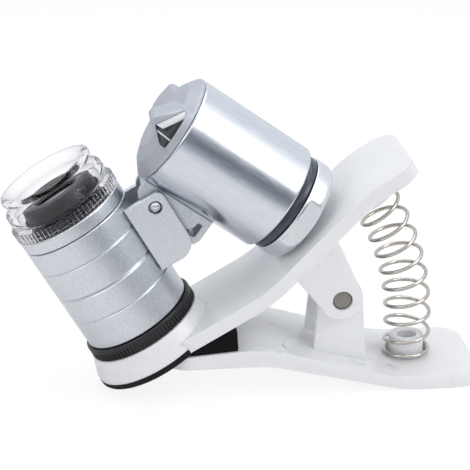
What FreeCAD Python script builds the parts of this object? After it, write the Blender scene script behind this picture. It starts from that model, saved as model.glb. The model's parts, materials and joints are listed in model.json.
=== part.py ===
"""Clip-on pocket microscope for a telephone, with a swinging pen lamp.

All lengths are millimetres and all angles degrees.  The part stands on the plane z = 0 as it
lies on a table: on the tail of the lower clip arm and on the soft pad under the eyepiece.
+X runs from the specimen cup to the tail of the clip, +Z is up, and the part is symmetric
about y = 0 apart from its grips.

Three frames carry the pieces, each turned about Y only:
  base   the lower arm, with its origin on the table under the pivot pin
  scope  the upper arm and the microscope, origin at the phone-side end of the optical axis
  lamp   the pen lamp, origin on its axis where the head meets the sleeve
"""
import FreeCAD, Part
import math
import os

import Sketcher
from FreeCAD import Placement, Rotation, Vector

SIZES = {
    # Lower clip arm: a bent strip that lies on its tail
    "tail_overhang": 2.42,
    "tip_setback": 0.594,
    "arm_half_width": 9.6,
    "arm_corner": 4.0,
    "lower_thickness": 2.4,
    "heel_lead": 4.0,
    "heel_step": 2.0,
    "knee_reach": 13.2,
    "knee_under_reach": 12.2,
    "knee_height": 8.6,
    "knee_thickness": 3.1,
    "tip_slope": 4.2,
    "bend_radius": 24.0,
    "edge_round": 0.6,
    # Pivot: ears of the lower arm inside lugs of the upper arm, on one pin
    "pin_radius": 1.6,
    "pin_recess": 0.3,
    "ear_outer": 5.0,
    "ear_wall": 1.2,
    "ear_round": 3.4,
    "ear_root_front": 4.5,
    "ear_root_back": 4.6,
    "ear_root_height": 4.3,
    "lug_outer": 6.5,
    "lug_wall": 1.3,
    "lug_round": 3.2,
    "lug_root_front": 4.7,
    "lug_root_back": 4.5,
    "running_clearance": 0.05,
    # Upper clip arm
    "scope_tilt": 29.88,
    "upper_tail": 51.3,
    "grip_length": 20.88,
    "pivot_below": 6.86,
    "upper_thickness": 2.35,
    "knee_lead": 9.62,
    "upper_slope": 15.9,
    "thumb_length": 8.2,
    "boss_flare": 1.8,
    "boss_top_flare": 0.7,
    "boss_edge": 1.3,
    "boss_height": 4.6,
    "boss_round": 0.9,
    # Jaw and phone pads
    "jaw_clearance": 0.25,
    "jaw_pad_start": 0.7,
    "jaw_pad_length": 8.0,
    "jaw_pad_side": 0.4,
    "phone_pad_margin": 1.4,
    "phone_pad_width": 3.1,
    "phone_pad_height": 1.282,
    "phone_pad_end": 0.2,
    # Return spring between the tails
    "spring_inset": 11.0,
    "spring_radius": 3.7,
    "spring_wire": 0.32,
    "spring_turns": 11.0,
    "spring_bend": 40.0,
    "spring_boss_radius": 2.9,
    "spring_boss_bore": 1.6,
    "spring_boss_height": 3.5,
    # Microscope barrel and its rings: the other radii step in or out from the barrel's
    "barrel_radius": 9.2,
    "barrel_wall": 1.8,
    "groove_depth": 0.3,
    "line_depth": 0.15,
    "upper_line_drop": 4.05,
    "middle_groove_drop": 9.2,
    "lower_line_drop": 13.65,
    "collar_height": 2.25,
    "collar_gap": 0.3,
    "focus_ring_height": 2.3,
    "focus_ring_lip": 0.57,
    "focus_ring_gap": 0.1,
    "focus_ring_rim": 0.72,
    "knurl_depth": 0.3,
    "knurl_count": 48,
    "sleeve_step": 0.9,
    "sleeve_wall": 1.15,
    "sleeve_depth": 2.0,
    "sleeve_seat": 2.0,
    "ring_clearance": 0.15,
    # Lens tube and lenses
    "lens_tube_wall": 0.9,
    "lens_tube_start": 3.0,
    "lens_tube_length": 13.0,
    "eyepiece_thickness": 2.2,
    "eyepiece_sag": 0.7,
    "nose_step": 0.5,
    "nose_taper": 0.7,
    "nose_rim": 1.3,
    "nose_height": 3.95,
    "nose_straight": 1.2,
    "nose_depth": 2.0,
    "objective_seat": 0.7,
    "objective_thickness": 1.3,
    "objective_sag": 0.4,
    "retainer_height": 0.7,
    # Clear specimen cup
    "cup_flange_lip": 0.15,
    "cup_flange_height": 1.95,
    "cup_waist_step": 0.75,
    "cup_waist": 2.55,
    "cup_shoulder_step": 0.55,
    "cup_shoulder_low": 2.9,
    "cup_shoulder_high": 4.3,
    "cup_neck_step": 2.0,
    "cup_neck": 5.4,
    "cup_lip_step": 1.23,
    "cup_lip": 6.1,
    "cup_height": 7.15,
    "cup_lip_round": 0.45,
    "cup_wall": 1.0,
    "cup_rib_depth": 0.2,
    "cup_rib_rim": 0.25,
    "cup_rib_count": 60,
    # Hinge ears on the barrel, and the rivet
    "hinge_offset": 3.5,
    "hinge_drop": 3.3,
    "hinge_ear_outer": 5.0,
    "hinge_ear_wall": 1.2,
    "hinge_ear_top": 1.2,
    "hinge_ear_bottom": 13.0,
    "hinge_ear_reach": 5.7,
    "hinge_ear_corner": 3.0,
    "rivet_radius": 0.9,
    "rivet_sink_radius": 1.15,
    "rivet_sink": 0.4,
    "rivet_recess": 0.15,
    # Lamp
    "lamp_fold": 24.7,
    "lamp_radius": 9.14,
    "lamp_wall": 0.94,
    "lamp_length": 20.65,
    "lamp_arm_clearance": 0.365,
    "hinge_to_lamp": 1.96,
    "hinge_to_head": 3.9,
    "head_dome": 2.85,
    "head_rim": 0.5,
    "head_shoulder_step": 1.94,
    "head_shoulder": 2.0,
    "head_spigot": 1.5,
    "beak_low": -1.4,
    "beak_high": 4.9,
    "beak_tip": 1.28,
    "beak_height": 6.2,
    "beak_round": 1.0,
    "window_depth": 1.6,
    "window_gap": 0.6,
    "window_inset": 0.4,
    "window_low": -2.3,
    "window_high": 5.8,
    "window_base": 1.3,
    "window_apex_side": 1.0,
    "window_apex": 4.7,
    "led_radius": 1.2,
    "led_round": 0.96,
    "led_spacing": 3.0,
    "led_length": 3.4,
    "led_angle": 52.7,
    "led_shift": 0.4,
    "led_drop": 0.5,
    "board_thickness": 1.0,
    "cell_radius": 5.8,
    "cell_height": 3.1,
    "cell_count": 3,
    "contact_thickness": 0.3,
    "holder_start": 4.2,
    "fit_clearance": 0.05,
    # Switch at the lamp's end
    "switch_ring_step": 0.74,
    "switch_ring_height": 1.65,
    "switch_plug": 2.15,
    "switch_stem_radius": 5.0,
    "switch_stem": 2.6,
    "cap_gap": 0.1,
    "cap_step": 0.54,
    "cap_length": 3.7,
    "cap_round": 1.6,
    "cap_end": 1.1,
    "grip_depth": 1.0,
    "grip_low": -4.7,
    "grip_high": 5.2,
    "grip_start": 0.7,
    # Lamp bracket
    "bracket_half_width": 3.5,
    "bracket_wall": 1.1,
    "bracket_start": 0.4,
    "bracket_end": 13.4,
    "bracket_cheek_end": 11.4,
    "bracket_depth": 2.86,
    "bracket_floor": 0.75,
    "bracket_rise": 2.3,
    "bracket_tab_depth": 4.2,
    "bracket_round": 1.8,
    "tab_lip": 0.55,
    "tab_curl": 0.22,
    "tab_curl_height": 1.76,
    "tab_curl_width": 0.99,
    # Working allowances of the cuts
    "solder_gap": 0.02,
    "cut_margin": 1.0,
}

SHEET = "Sizes"
LEAST_CUT = 1e-6
LENS_STEPS = 4
COIL_STEPS = 8


class Size:
    """A length or angle that knows both its number and the sheet expression behind it."""

    def __init__(self, value, text=None):
        self.value = value
        self.text = text if text is not None else repr(value)

    def _join(self, other, sign, value):
        return Size(value, f"({self.text} {sign} {as_size(other).text})")

    def __add__(self, other):
        return self._join(other, "+", self.value + as_size(other).value)

    def __radd__(self, other):
        return as_size(other) + self

    def __sub__(self, other):
        return self._join(other, "-", self.value - as_size(other).value)

    def __rsub__(self, other):
        return as_size(other) - self

    def __mul__(self, other):
        return self._join(other, "*", self.value * as_size(other).value)

    def __rmul__(self, other):
        return as_size(other) * self

    def __truediv__(self, other):
        return self._join(other, "/", self.value / as_size(other).value)

    def __neg__(self):
        return Size(-self.value, f"(0 - {self.text})")


def as_size(number):
    """Return number as a Size."""
    return number if isinstance(number, Size) else Size(number)


def cos(angle):
    """Cosine of an angle in degrees."""
    return Size(math.cos(math.radians(angle.value)), f"cos({angle.text})")


def sin(angle):
    """Sine of an angle in degrees."""
    return Size(math.sin(math.radians(angle.value)), f"sin({angle.text})")


def tan(angle):
    """Tangent of an angle in degrees."""
    return Size(math.tan(math.radians(angle.value)), f"tan({angle.text})")


def root(size):
    """Square root."""
    return Size(math.sqrt(size.value), f"sqrt({size.text})")


class Sheet:
    """The spreadsheet of driving and derived sizes; each alias reads as an attribute."""

    def __init__(self, document):
        self.cells = document.addObject("Spreadsheet::Sheet", SHEET)
        self.row = 0

    def _write(self, alias, content, value):
        self.row += 1
        self.cells.set(f"A{self.row}", alias)
        self.cells.set(f"B{self.row}", content)
        self.cells.setAlias(f"B{self.row}", alias)
        size = Size(value, f"{SHEET}.{alias}")
        setattr(self, alias, size)
        return size

    def drive(self, alias, value):
        """Add a driving size."""
        return self._write(alias, str(value), value)

    def derive(self, alias, size):
        """Add a size that follows from others."""
        return self._write(alias, "=" + size.text.replace(SHEET + ".", ""), size.value)


class Frame:
    """A place in the symmetry plane, turned about Y, given by sizes."""

    def __init__(self, along, height, angle):
        self.along = along
        self.height = height
        self.angle = angle

    def point(self, x, z):
        """Return the part's x and z of a point of this frame."""
        across = self.along + cos(self.angle) * x - sin(self.angle) * z
        up = self.height + sin(self.angle) * x + cos(self.angle) * z
        return across, up

    def hold(self, piece, x=0.0, y=0.0, z=0.0, turn=None):
        """Bind a piece's placement to a point of this frame."""
        across, up = self.point(as_size(x), as_size(z))
        angle = self.angle if turn is None else self.angle + turn
        sideways = as_size(y)
        base = Vector(across.value, sideways.value, up.value)
        piece.Placement = Placement(base, Rotation(Vector(0, -1, 0), angle.value))
        piece.setExpression("Placement.Base.x", across.text)
        piece.setExpression("Placement.Base.y", sideways.text)
        piece.setExpression("Placement.Base.z", up.text)
        piece.setExpression("Placement.Rotation.Angle", f"{angle.text} * 1 deg")


doc = FreeCAD.newDocument("PocketMicroscope")
s = Sheet(doc)
for alias, number in SIZES.items():
    s.drive(alias, number)


def origin_feature(body, role):
    """Return the body's own origin plane or axis with this role."""
    return next(item for item in body.Origin.OriginFeatures if item.Role == role)


def new_body(name):
    """Add a body whose label names its file."""
    body = doc.addObject("PartDesign::Body", name)
    body.Label = name
    pieces.append(body)
    return body


def bind(item, name, size):
    """Set a property and tie it to the sheet."""
    size = as_size(size)
    setattr(item, name, size.value)
    item.setExpression(name, size.text)


def new_sketch(body, plane, offset=None):
    """Add a sketch on one of the body's origin planes, moved along the plane's normal."""
    sketch = body.newObject("Sketcher::SketchObject", "Sketch")
    sketch.AttachmentSupport = [(origin_feature(body, plane), "")]
    sketch.MapMode = "FlatFace"
    if offset is not None:
        sketch.AttachmentOffset = Placement(Vector(0, 0, offset.value), Rotation())
        sketch.setExpression("AttachmentOffset.Base.z", offset.text)
    return sketch


def pin_point(sketch, line, end, point):
    """Tie one end of a sketch line to the coordinates of a point."""
    for kind, size in zip(("DistanceX", "DistanceY"), point):
        index = sketch.addConstraint(Sketcher.Constraint(kind, -1, 1, line, end, size.value))
        sketch.setExpression(f"Constraints[{index}]", size.text)


def outline(body, plane, points, offset=None):
    """Draw a closed outline of straight lines, every corner tied to the sheet."""
    sketch = new_sketch(body, plane, offset)
    corners = [(as_size(across), as_size(up)) for across, up in points]
    spots = [Vector(across.value, up.value, 0) for across, up in corners]
    lines = [Part.LineSegment(spot, spots[(index + 1) % len(spots)])
             for index, spot in enumerate(spots)]
    sketch.addGeometry(lines, False)
    for index, corner in enumerate(corners):
        following = (index + 1) % len(corners)
        sketch.addConstraint(Sketcher.Constraint("Coincident", index, 2, following, 1))
        pin_point(sketch, index, 1, corner)
    return sketch


def circle(body, plane, across, up, radius, offset=None):
    """Draw one circle, its centre and radius tied to the sheet."""
    sketch = new_sketch(body, plane, offset)
    centre = (as_size(across), as_size(up))
    radius = as_size(radius)
    spot = Vector(centre[0].value, centre[1].value, 0)
    sketch.addGeometry(Part.Circle(spot, Vector(0, 0, 1), radius.value), False)
    pin_point(sketch, 0, 3, centre)
    index = sketch.addConstraint(Sketcher.Constraint("Radius", 0, radius.value))
    sketch.setExpression(f"Constraints[{index}]", radius.text)
    return sketch


def rectangle(low, bottom, high, top):
    """Corners of an upright rectangle."""
    return [(low, bottom), (high, bottom), (high, top), (low, top)]


def extrude(body, kind, sketch, length, both_ways=True, reverse=False):
    """Pad or pocket a sketch; both_ways spreads the length evenly about its plane."""
    feature = body.newObject(f"PartDesign::{kind}", kind)
    feature.Profile = sketch
    if both_ways:
        feature.SideType = "Symmetric"
    feature.Reversed = reverse
    bind(feature, "Length", length)
    return feature


def pad(body, sketch, length, both_ways=True, reverse=False):
    """Add material over a length."""
    return extrude(body, "Pad", sketch, length, both_ways, reverse)


def pocket(body, sketch, length, both_ways=True, reverse=False):
    """Cut material over a length, and make sure that something was cut."""
    doc.recompute()
    before = body.Shape.Volume
    feature = extrude(body, "Pocket", sketch, length, both_ways, reverse)
    doc.recompute()
    require_cut(body, feature, before)
    return feature


def require_cut(body, feature, before):
    """Stop where a cut left the body as it was."""
    if body.Shape.Volume > before - LEAST_CUT:
        raise RuntimeError(f"{body.Label}: {feature.Name} cuts nothing")


def revolve(body, points):
    """Turn an outline of (radius, height) corners once round the body's Z axis."""
    sketch = outline(body, "XZ_Plane", points)
    feature = body.newObject("PartDesign::Revolution", "Revolution")
    feature.Profile = sketch
    feature.ReferenceAxis = (sketch, ["V_Axis"])
    feature.Angle = 360.0
    return feature


def groove(body, points):
    """Cut a turned outline of (radius, height) corners out of the body."""
    doc.recompute()
    before = body.Shape.Volume
    sketch = outline(body, "XZ_Plane", points)
    feature = body.newObject("PartDesign::Groove", "Groove")
    feature.Profile = sketch
    feature.ReferenceAxis = (sketch, ["V_Axis"])
    feature.Angle = 360.0
    doc.recompute()
    require_cut(body, feature, before)
    return feature


def edge_at(shape, point):
    """Name the edge that passes nearest to a point."""
    spot = Part.Vertex(Vector(*[as_size(number).value for number in point]))
    distances = [edge.distToShape(spot)[0] for edge in shape.Edges]
    return f"Edge{distances.index(min(distances)) + 1}"


def round_edges(body, radius, points, kind="Fillet"):
    """Fillet or chamfer the edges that pass through the points."""
    doc.recompute()
    base = body.Tip
    names = sorted({edge_at(base.Shape, point) for point in points})
    feature = body.newObject(f"PartDesign::{kind}", kind)
    feature.Base = (base, names)
    bind(feature, "Radius" if kind == "Fillet" else "Size", radius)
    return feature


def soften_rims(body, front):
    """Round the long edges of a strip behind a place, top and bottom, and round its corners."""
    doc.recompute()
    base = body.Tip
    names = []
    for index, edge in enumerate(base.Shape.Edges):
        sides = [face for face in base.Shape.ancestorsOfType(edge, Part.Face) if is_side(face)]
        span = edge.BoundBox
        behind = span.XMin > front.value - LEAST_CUT and span.XMax > front.value + s.edge_round.value
        if len(sides) == 1 and behind:
            names.append(f"Edge{index + 1}")
    feature = body.newObject("PartDesign::Fillet", "Fillet")
    feature.Base = (base, names)
    bind(feature, "Radius", s.edge_round)


def is_side(face):
    """Say whether a face stands upright along the strip or at its rounded corners."""
    spans = zip(face.ParameterRange[::2], face.ParameterRange[1::2])
    normal = face.normalAt(*[sum(span) / 2 for span in spans])
    return abs(normal.z) < LEAST_CUT and abs(normal.y) > LEAST_CUT


def repeat_round(body, feature, count):
    """Repeat a feature evenly round the body's Z axis."""
    pattern = body.newObject("PartDesign::PolarPattern", "PolarPattern")
    pattern.Originals = [feature]
    pattern.Axis = (origin_feature(body, "Z_Axis"), [""])
    pattern.Angle = 360.0
    pattern.Occurrences = int(count.value)
    pattern.setExpression("Occurrences", count.text)
    body.Tip = pattern
    return pattern


def lens(name, radius, thickness, sag):
    """A biconvex lens on its own axis; each face falls with the square of the radius."""
    body = new_body(name)
    shares = [step / LENS_STEPS for step in range(LENS_STEPS + 1)]
    below = [(radius * share, sag * share ** 2) for share in shares]
    above = [(across, thickness - drop) for across, drop in reversed(below)]
    revolve(body, below + above)
    return body


pieces = []

# Radii that step in or out from the barrel's and the lamp's
s.derive("barrel_bore", s.barrel_radius - s.barrel_wall)
s.derive("sleeve_radius", s.barrel_radius - s.sleeve_step)
s.derive("sleeve_bore", s.sleeve_radius - s.sleeve_wall)
s.derive("lens_tube_radius", s.sleeve_bore - s.ring_clearance)
s.derive("lens_tube_bore", s.lens_tube_radius - s.lens_tube_wall)
s.derive("nose_radius", s.barrel_bore - s.nose_step)
s.derive("nose_top_radius", s.nose_radius - s.nose_taper)
s.derive("objective_radius", s.nose_top_radius - s.nose_rim)
s.derive("nose_bore", s.objective_radius - s.objective_seat)
s.derive("focus_ring_radius", s.barrel_radius + s.focus_ring_lip)
s.derive("boss_radius", s.barrel_radius + s.boss_flare)
s.derive("boss_top_radius", s.barrel_radius + s.boss_top_flare)
s.derive("phone_pad_radius", s.boss_radius - s.phone_pad_margin)
s.derive("phone_pad_bore", s.phone_pad_radius - s.phone_pad_width)
s.derive("cup_flange_radius", s.barrel_radius + s.cup_flange_lip)
s.derive("cup_waist_radius", s.cup_flange_radius - s.cup_waist_step)
s.derive("cup_shoulder_radius", s.cup_flange_radius - s.cup_shoulder_step)
s.derive("cup_neck_radius", s.cup_flange_radius - s.cup_neck_step)
s.derive("cup_lip_radius", s.cup_flange_radius - s.cup_lip_step)
s.derive("lamp_bore", s.lamp_radius - s.lamp_wall)
s.derive("head_shoulder_radius", s.lamp_radius - s.head_shoulder_step)
s.derive("switch_ring_radius", s.lamp_radius - s.switch_ring_step)
s.derive("cap_radius", s.lamp_radius - s.cap_step)
s.derive("grip_flat", s.cap_radius - s.grip_depth)

# Places along the two arms, from the tail forwards
s.derive("pivot_along", s.upper_tail - s.grip_length)
s.derive("upper_knee", s.pivot_along - s.knee_lead)
s.derive("upper_heel", s.upper_tail - s.thumb_length)
s.derive("upper_rise", tan(s.upper_slope) * (s.upper_heel - s.upper_knee))
s.derive("tail_reach", s.grip_length + s.tail_overhang)
s.derive("spring_reach", s.tail_reach - s.spring_inset)
s.derive("heel_reach", s.spring_reach - s.heel_lead)
s.derive("heel_under_reach", s.heel_reach + s.heel_step)

# Frames.  The front edge of the phone pad rests on the table and the pin hangs on the arm.
pin_across = s.derive("pin_across", cos(s.scope_tilt) * s.pivot_along + sin(s.scope_tilt) * s.pivot_below)
pin_above = s.derive("pin_above", sin(s.scope_tilt) * s.pivot_along - cos(s.scope_tilt) * s.pivot_below)
eye_height = s.derive("eye_height", cos(s.scope_tilt) * s.phone_pad_height
                      + sin(s.scope_tilt) * s.phone_pad_radius)
s.derive("pivot_height", eye_height + pin_above)
s.derive("tip_reach", pin_across - s.tip_setback)
scope_foot = s.derive("scope_foot", s.boss_height + s.focus_ring_height)

# The lamp's hinge stands as high as its cap needs to pass over the upper arm's slope.
rivet_side = s.derive("rivet_side", s.barrel_radius + s.hinge_offset)
lamp_hinge = s.derive("lamp_hinge", s.lamp_radius + s.hinge_to_lamp)
cap_tail = s.derive("cap_tail", s.lamp_length + s.switch_ring_height + s.cap_gap + s.cap_length)
rim_out = s.derive("rim_out", lamp_hinge - s.cap_radius + s.cap_round)
rim_back = s.derive("rim_back", s.hinge_to_head - cap_tail + s.cap_round)
rim_x = s.derive("rim_x", rivet_side + cos(s.lamp_fold) * rim_out - sin(s.lamp_fold) * rim_back)
rim_z = s.derive("rim_z", s.upper_thickness
                 + (s.lamp_arm_clearance + s.cap_round + sin(s.upper_slope) * (rim_x - s.upper_knee))
                 / cos(s.upper_slope))
rivet_height = s.derive("rivet_height", rim_z - sin(s.lamp_fold) * rim_out - cos(s.lamp_fold) * rim_back)
s.derive("barrel_length", rivet_height + s.hinge_drop - scope_foot)
barrel_top = s.derive("barrel_top", scope_foot + s.barrel_length)
collar_top = s.derive("collar_top", barrel_top + s.collar_height)
rim_height = s.derive("rim_height", collar_top + s.cup_height)
rim_side = s.derive("rim_side", s.cup_lip_radius - s.cup_lip_round)
rim_centre = s.derive("rim_centre", rim_height - s.cup_lip_round)
front_reach = s.derive("front_reach", pin_across + cos(s.scope_tilt) * rim_side
                       + sin(s.scope_tilt) * rim_centre + s.cup_lip_round)
pivot_x = s.derive("pivot_x", (front_reach - s.tail_reach) / 2)
base_frame = Frame(pivot_x, as_size(0.0), as_size(0.0))
scope_x = s.derive("scope_x", pivot_x - pin_across)
scope_frame = Frame(scope_x, eye_height, s.scope_tilt)
lamp_angle = s.derive("lamp_angle", s.scope_tilt + s.lamp_fold)
hinge_point = scope_frame.point(rivet_side, rivet_height)
hinge_x = s.derive("hinge_x", hinge_point[0])
hinge_z = s.derive("hinge_z", hinge_point[1])
lamp_point = Frame(hinge_x, hinge_z, lamp_angle).point(lamp_hinge, s.hinge_to_head)
lamp_x = s.derive("lamp_x", lamp_point[0])
lamp_z = s.derive("lamp_z", lamp_point[1])
lamp_frame = Frame(lamp_x, lamp_z, lamp_angle)

# The jaw line: where the lower arm's top runs under the upper arm's flat underside
jaw_drop = s.derive("jaw_drop", s.jaw_clearance / cos(s.scope_tilt))
jaw_meet = s.derive("jaw_meet", (s.knee_height + tan(s.tip_slope) * s.knee_reach - eye_height + jaw_drop
                                 - tan(s.scope_tilt) * pin_across)
                    / (tan(s.scope_tilt) - tan(s.tip_slope)))


def jaw_line(x):
    """Height of the line that runs just under the upper arm."""
    return eye_height - jaw_drop + tan(s.scope_tilt) * (x + pin_across)


def lower_top(x):
    """Height of the lower arm's top in front of its bend."""
    return s.knee_height + tan(s.tip_slope) * (x + s.knee_reach)


def side_plates(body, points, disc, inner, wall):
    """Add two like plates either side of the symmetry plane, each with a round end."""
    across, up, radius = disc
    for side in (1, -1):
        place = inner * side
        pad(body, outline(body, "XZ_Plane", points, place), wall, False, side < 0)
        pad(body, circle(body, "XZ_Plane", across, up, radius, place), wall, False, side < 0)


def make_lower_arm():
    """Lower arm: bent strip, two pivot ears and the spring's tubular boss."""
    body = new_body("clip_lower_arm")
    width = s.arm_half_width * 2
    under = s.knee_height - s.knee_thickness
    thick = s.lower_thickness
    points = [(-s.tip_reach, under), (-s.knee_under_reach, under), (s.heel_under_reach, 0),
              (s.tail_reach, 0), (s.tail_reach, thick), (s.heel_reach, thick),
              (-s.knee_reach, s.knee_height), (jaw_meet, lower_top(jaw_meet)),
              (-s.tip_reach, jaw_line(-s.tip_reach))]
    pad(body, outline(body, "XZ_Plane", points), width)
    bends = [(-s.knee_under_reach, 0, under), (s.heel_under_reach, 0, 0),
             (s.heel_reach, 0, thick), (-s.knee_reach, 0, s.knee_height)]
    round_edges(body, s.bend_radius, bends)
    half = s.arm_half_width
    corners = [(s.tail_reach, half, thick / 2), (s.tail_reach, -half, thick / 2)]
    tip_middle = (under + jaw_line(-s.tip_reach)) / 2
    corners += [(-s.tip_reach, half, tip_middle), (-s.tip_reach, -half, tip_middle)]
    round_edges(body, s.arm_corner, corners)
    soften_rims(body, jaw_meet)
    inner = s.ear_outer - s.ear_wall
    ears = [(-s.ear_root_front, s.ear_root_height), (s.ear_root_back, thick),
            (s.ear_round, s.pivot_height), (-s.ear_round, s.pivot_height)]
    side_plates(body, ears, (0, s.pivot_height, s.ear_round), inner, s.ear_wall)
    pocket(body, circle(body, "XZ_Plane", 0, s.pivot_height, s.pin_radius), width)
    boss = circle(body, "XY_Plane", s.spring_reach, 0, s.spring_boss_radius, thick / 2)
    pad(body, boss, s.spring_boss_height + thick / 2, False)
    bore = circle(body, "XY_Plane", s.spring_reach, 0, s.spring_boss_bore, thick)
    pocket(body, bore, s.spring_boss_height, False, True)
    base_frame.hold(body)
    return body


def make_pin():
    """Pivot pin, a little shorter than the lugs are wide."""
    body = new_body("clip_pivot_pin")
    length = (s.lug_outer - s.pin_recess) * 2
    pad(body, circle(body, "XZ_Plane", 0, 0, s.pin_radius), length)
    end = length / 2
    round_edges(body, s.pin_recess, [(-s.pin_radius, end, 0), (-s.pin_radius, -end, 0)])
    base_frame.hold(body, z=s.pivot_height)
    return body


def make_upper_arm():
    """Upper arm: conical boss round the eyepiece, bent strip, lugs and spring boss."""
    body = new_body("clip_upper_arm")
    width = s.arm_half_width * 2
    rise = s.upper_rise
    thick = s.upper_thickness
    points = [(0, 0), (s.upper_knee, 0), (s.upper_heel, rise), (s.upper_tail, rise),
              (s.upper_tail, rise + thick), (s.upper_heel, rise + thick), (s.upper_knee, thick),
              (0, thick)]
    pad(body, outline(body, "XZ_Plane", points), width)
    bends = [(s.upper_knee, 0, 0), (s.upper_heel, 0, rise), (s.upper_heel, 0, rise + thick),
             (s.upper_knee, 0, thick)]
    round_edges(body, s.bend_radius, bends)
    half = s.arm_half_width
    end_middle = rise + thick / 2
    round_edges(body, s.arm_corner, [(s.upper_tail, half, end_middle), (s.upper_tail, -half, end_middle)])
    revolve(body, [(0, 0), (s.boss_radius, 0), (s.boss_radius, s.boss_edge),
                   (s.boss_top_radius, s.boss_height), (0, s.boss_height)])
    round_edges(body, s.boss_round, [(-s.boss_radius, 0, 0)])
    pin_z = -s.pivot_below
    front = s.pivot_along - s.lug_root_front
    back = s.pivot_along + s.lug_root_back
    slope = tan(s.upper_slope)
    lugs = [(front, slope * (front - s.upper_knee) + thick / 2), (s.pivot_along - s.lug_round, pin_z),
            (s.pivot_along + s.lug_round, pin_z), (back, slope * (back - s.upper_knee) + thick / 2)]
    inner = s.lug_outer - s.lug_wall
    side_plates(body, lugs, (s.pivot_along, pin_z, s.lug_round), inner, s.lug_wall)
    hole = s.pin_radius + s.running_clearance
    pocket(body, circle(body, "XZ_Plane", s.pivot_along, pin_z, hole), width)
    boss = circle(body, "XY_Plane", s.upper_heel, 0, s.spring_boss_radius, rise + thick / 2)
    pad(body, boss, s.spring_boss_height + thick / 2, False, True)
    floor = rise - s.spring_boss_height
    bore = circle(body, "XY_Plane", s.upper_heel, 0, s.spring_boss_bore, floor)
    pocket(body, bore, s.spring_boss_height, False, True)
    through = circle(body, "XY_Plane", 0, 0, s.sleeve_bore)
    pocket(body, through, (s.boss_height + s.cut_margin) * 2)
    seat = circle(body, "XY_Plane", 0, 0, s.sleeve_radius, s.sleeve_seat)
    pocket(body, seat, s.boss_height, False, True)
    scope_frame.hold(body)
    return body


def make_jaw_pad():
    """Black wedge on the lower arm that fills the closed jaw."""
    body = new_body("jaw_pad")
    front = jaw_meet + s.jaw_pad_start
    back = front + s.jaw_pad_length
    points = [(front, lower_top(front)), (back + s.jaw_pad_side / 2, lower_top(back + s.jaw_pad_side / 2)),
              (back, jaw_line(back)), (front, jaw_line(front))]
    pad(body, outline(body, "XZ_Plane", points), (s.arm_half_width - s.jaw_pad_side) * 2)
    round_edges(body, s.edge_round, [(back, 0, jaw_line(back))])
    base_frame.hold(body)
    return body


def make_phone_pad():
    """Soft pad under the front of the eyepiece boss; its front edge rests on the table."""
    body = new_body("phone_pad")
    reach = s.phone_pad_radius
    height = s.phone_pad_height
    revolve(body, [(s.phone_pad_bore, -height), (reach, -height), (reach, 0), (s.phone_pad_bore, 0)])
    outside = reach + s.cut_margin
    below = -height - s.cut_margin
    wedge = [(-outside, below), (outside, below), (outside, height),
             (s.phone_pad_end, 0), (-reach, -height), (-outside, -height)]
    pocket(body, outline(body, "XZ_Plane", wedge), outside * 2)
    scope_frame.hold(body)
    return body


def coil_point(share):
    """Point of the return spring's wire at a share of its length, in the base frame."""
    start = s.lower_thickness.value + s.spring_wire.value
    foot = s.spring_reach.value
    tilt = math.radians(s.scope_tilt.value)
    local_x = s.upper_heel.value
    local_z = s.upper_rise.value - s.spring_wire.value
    top_x = local_x * math.cos(tilt) - local_z * math.sin(tilt) - pin_across.value
    top_z = local_x * math.sin(tilt) + local_z * math.cos(tilt) + eye_height.value
    corner_z = top_z - (foot - top_x) / math.tan(tilt)
    tangent = s.spring_bend.value * math.tan(tilt / 2)
    lower_run = corner_z - tangent - start
    upper_run = math.hypot(foot - top_x, top_z - corner_z) - tangent
    arc_run = s.spring_bend.value * tilt
    travelled = share * (lower_run + arc_run + upper_run)
    if travelled < lower_run:
        x, z, lean = foot, start + travelled, 0.0
    elif travelled < lower_run + arc_run:
        lean = (travelled - lower_run) / s.spring_bend.value
        x = foot - s.spring_bend.value * (1 - math.cos(lean))
        z = start + lower_run + s.spring_bend.value * math.sin(lean)
    else:
        lean = tilt
        rest = travelled - lower_run - arc_run
        x = foot - s.spring_bend.value * (1 - math.cos(tilt)) - rest * math.sin(tilt)
        z = start + lower_run + s.spring_bend.value * math.sin(tilt) + rest * math.cos(tilt)
    turn = 2 * math.pi * s.spring_turns.value * share
    radius = s.spring_radius.value
    outward = radius * math.cos(turn)
    return Vector(x + outward * math.cos(lean), radius * math.sin(turn), z + outward * math.sin(lean))


def make_spring():
    """Compression spring that bends between the two bosses; its wire follows a formula."""
    count = int(s.spring_turns.value * COIL_STEPS)
    points = [coil_point(index / count) for index in range(count + 1)]
    curve = Part.BSplineCurve()
    curve.interpolate(points)
    path = Part.Wire([curve.toShape()])
    direction = curve.tangent(curve.FirstParameter)[0]
    section = Part.Wire([Part.makeCircle(s.spring_wire.value, points[0], direction)])
    piece = doc.addObject("Part::Feature", "clip_spring")
    piece.Label = "clip_spring"
    piece.Shape = path.makePipeShell([section], True, True)
    base_frame.hold(piece)
    pieces.append(piece)
    return piece


def make_focus_ring():
    """Knurled black ring that turns between the arm's boss and the barrel."""
    body = new_body("focus_ring")
    inner = s.sleeve_radius + s.ring_clearance
    height = s.focus_ring_height - s.focus_ring_gap * 2
    radius = s.focus_ring_radius
    revolve(body, [(inner, 0), (radius, 0), (radius, height), (inner, height)])
    cut = pocket(body, v_notch(body, radius, s.knurl_depth), height - s.focus_ring_rim, False, True)
    repeat_round(body, cut, s.knurl_count)
    scope_frame.hold(body, z=s.boss_height + s.focus_ring_gap)
    return body


def v_notch(body, radius, depth, offset=None):
    """Draw the V between two ribs of a round grip."""
    return outline(body, "XY_Plane", [(radius - depth, 0), (radius + depth, -depth), (radius + depth, depth)],
                   offset)


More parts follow.
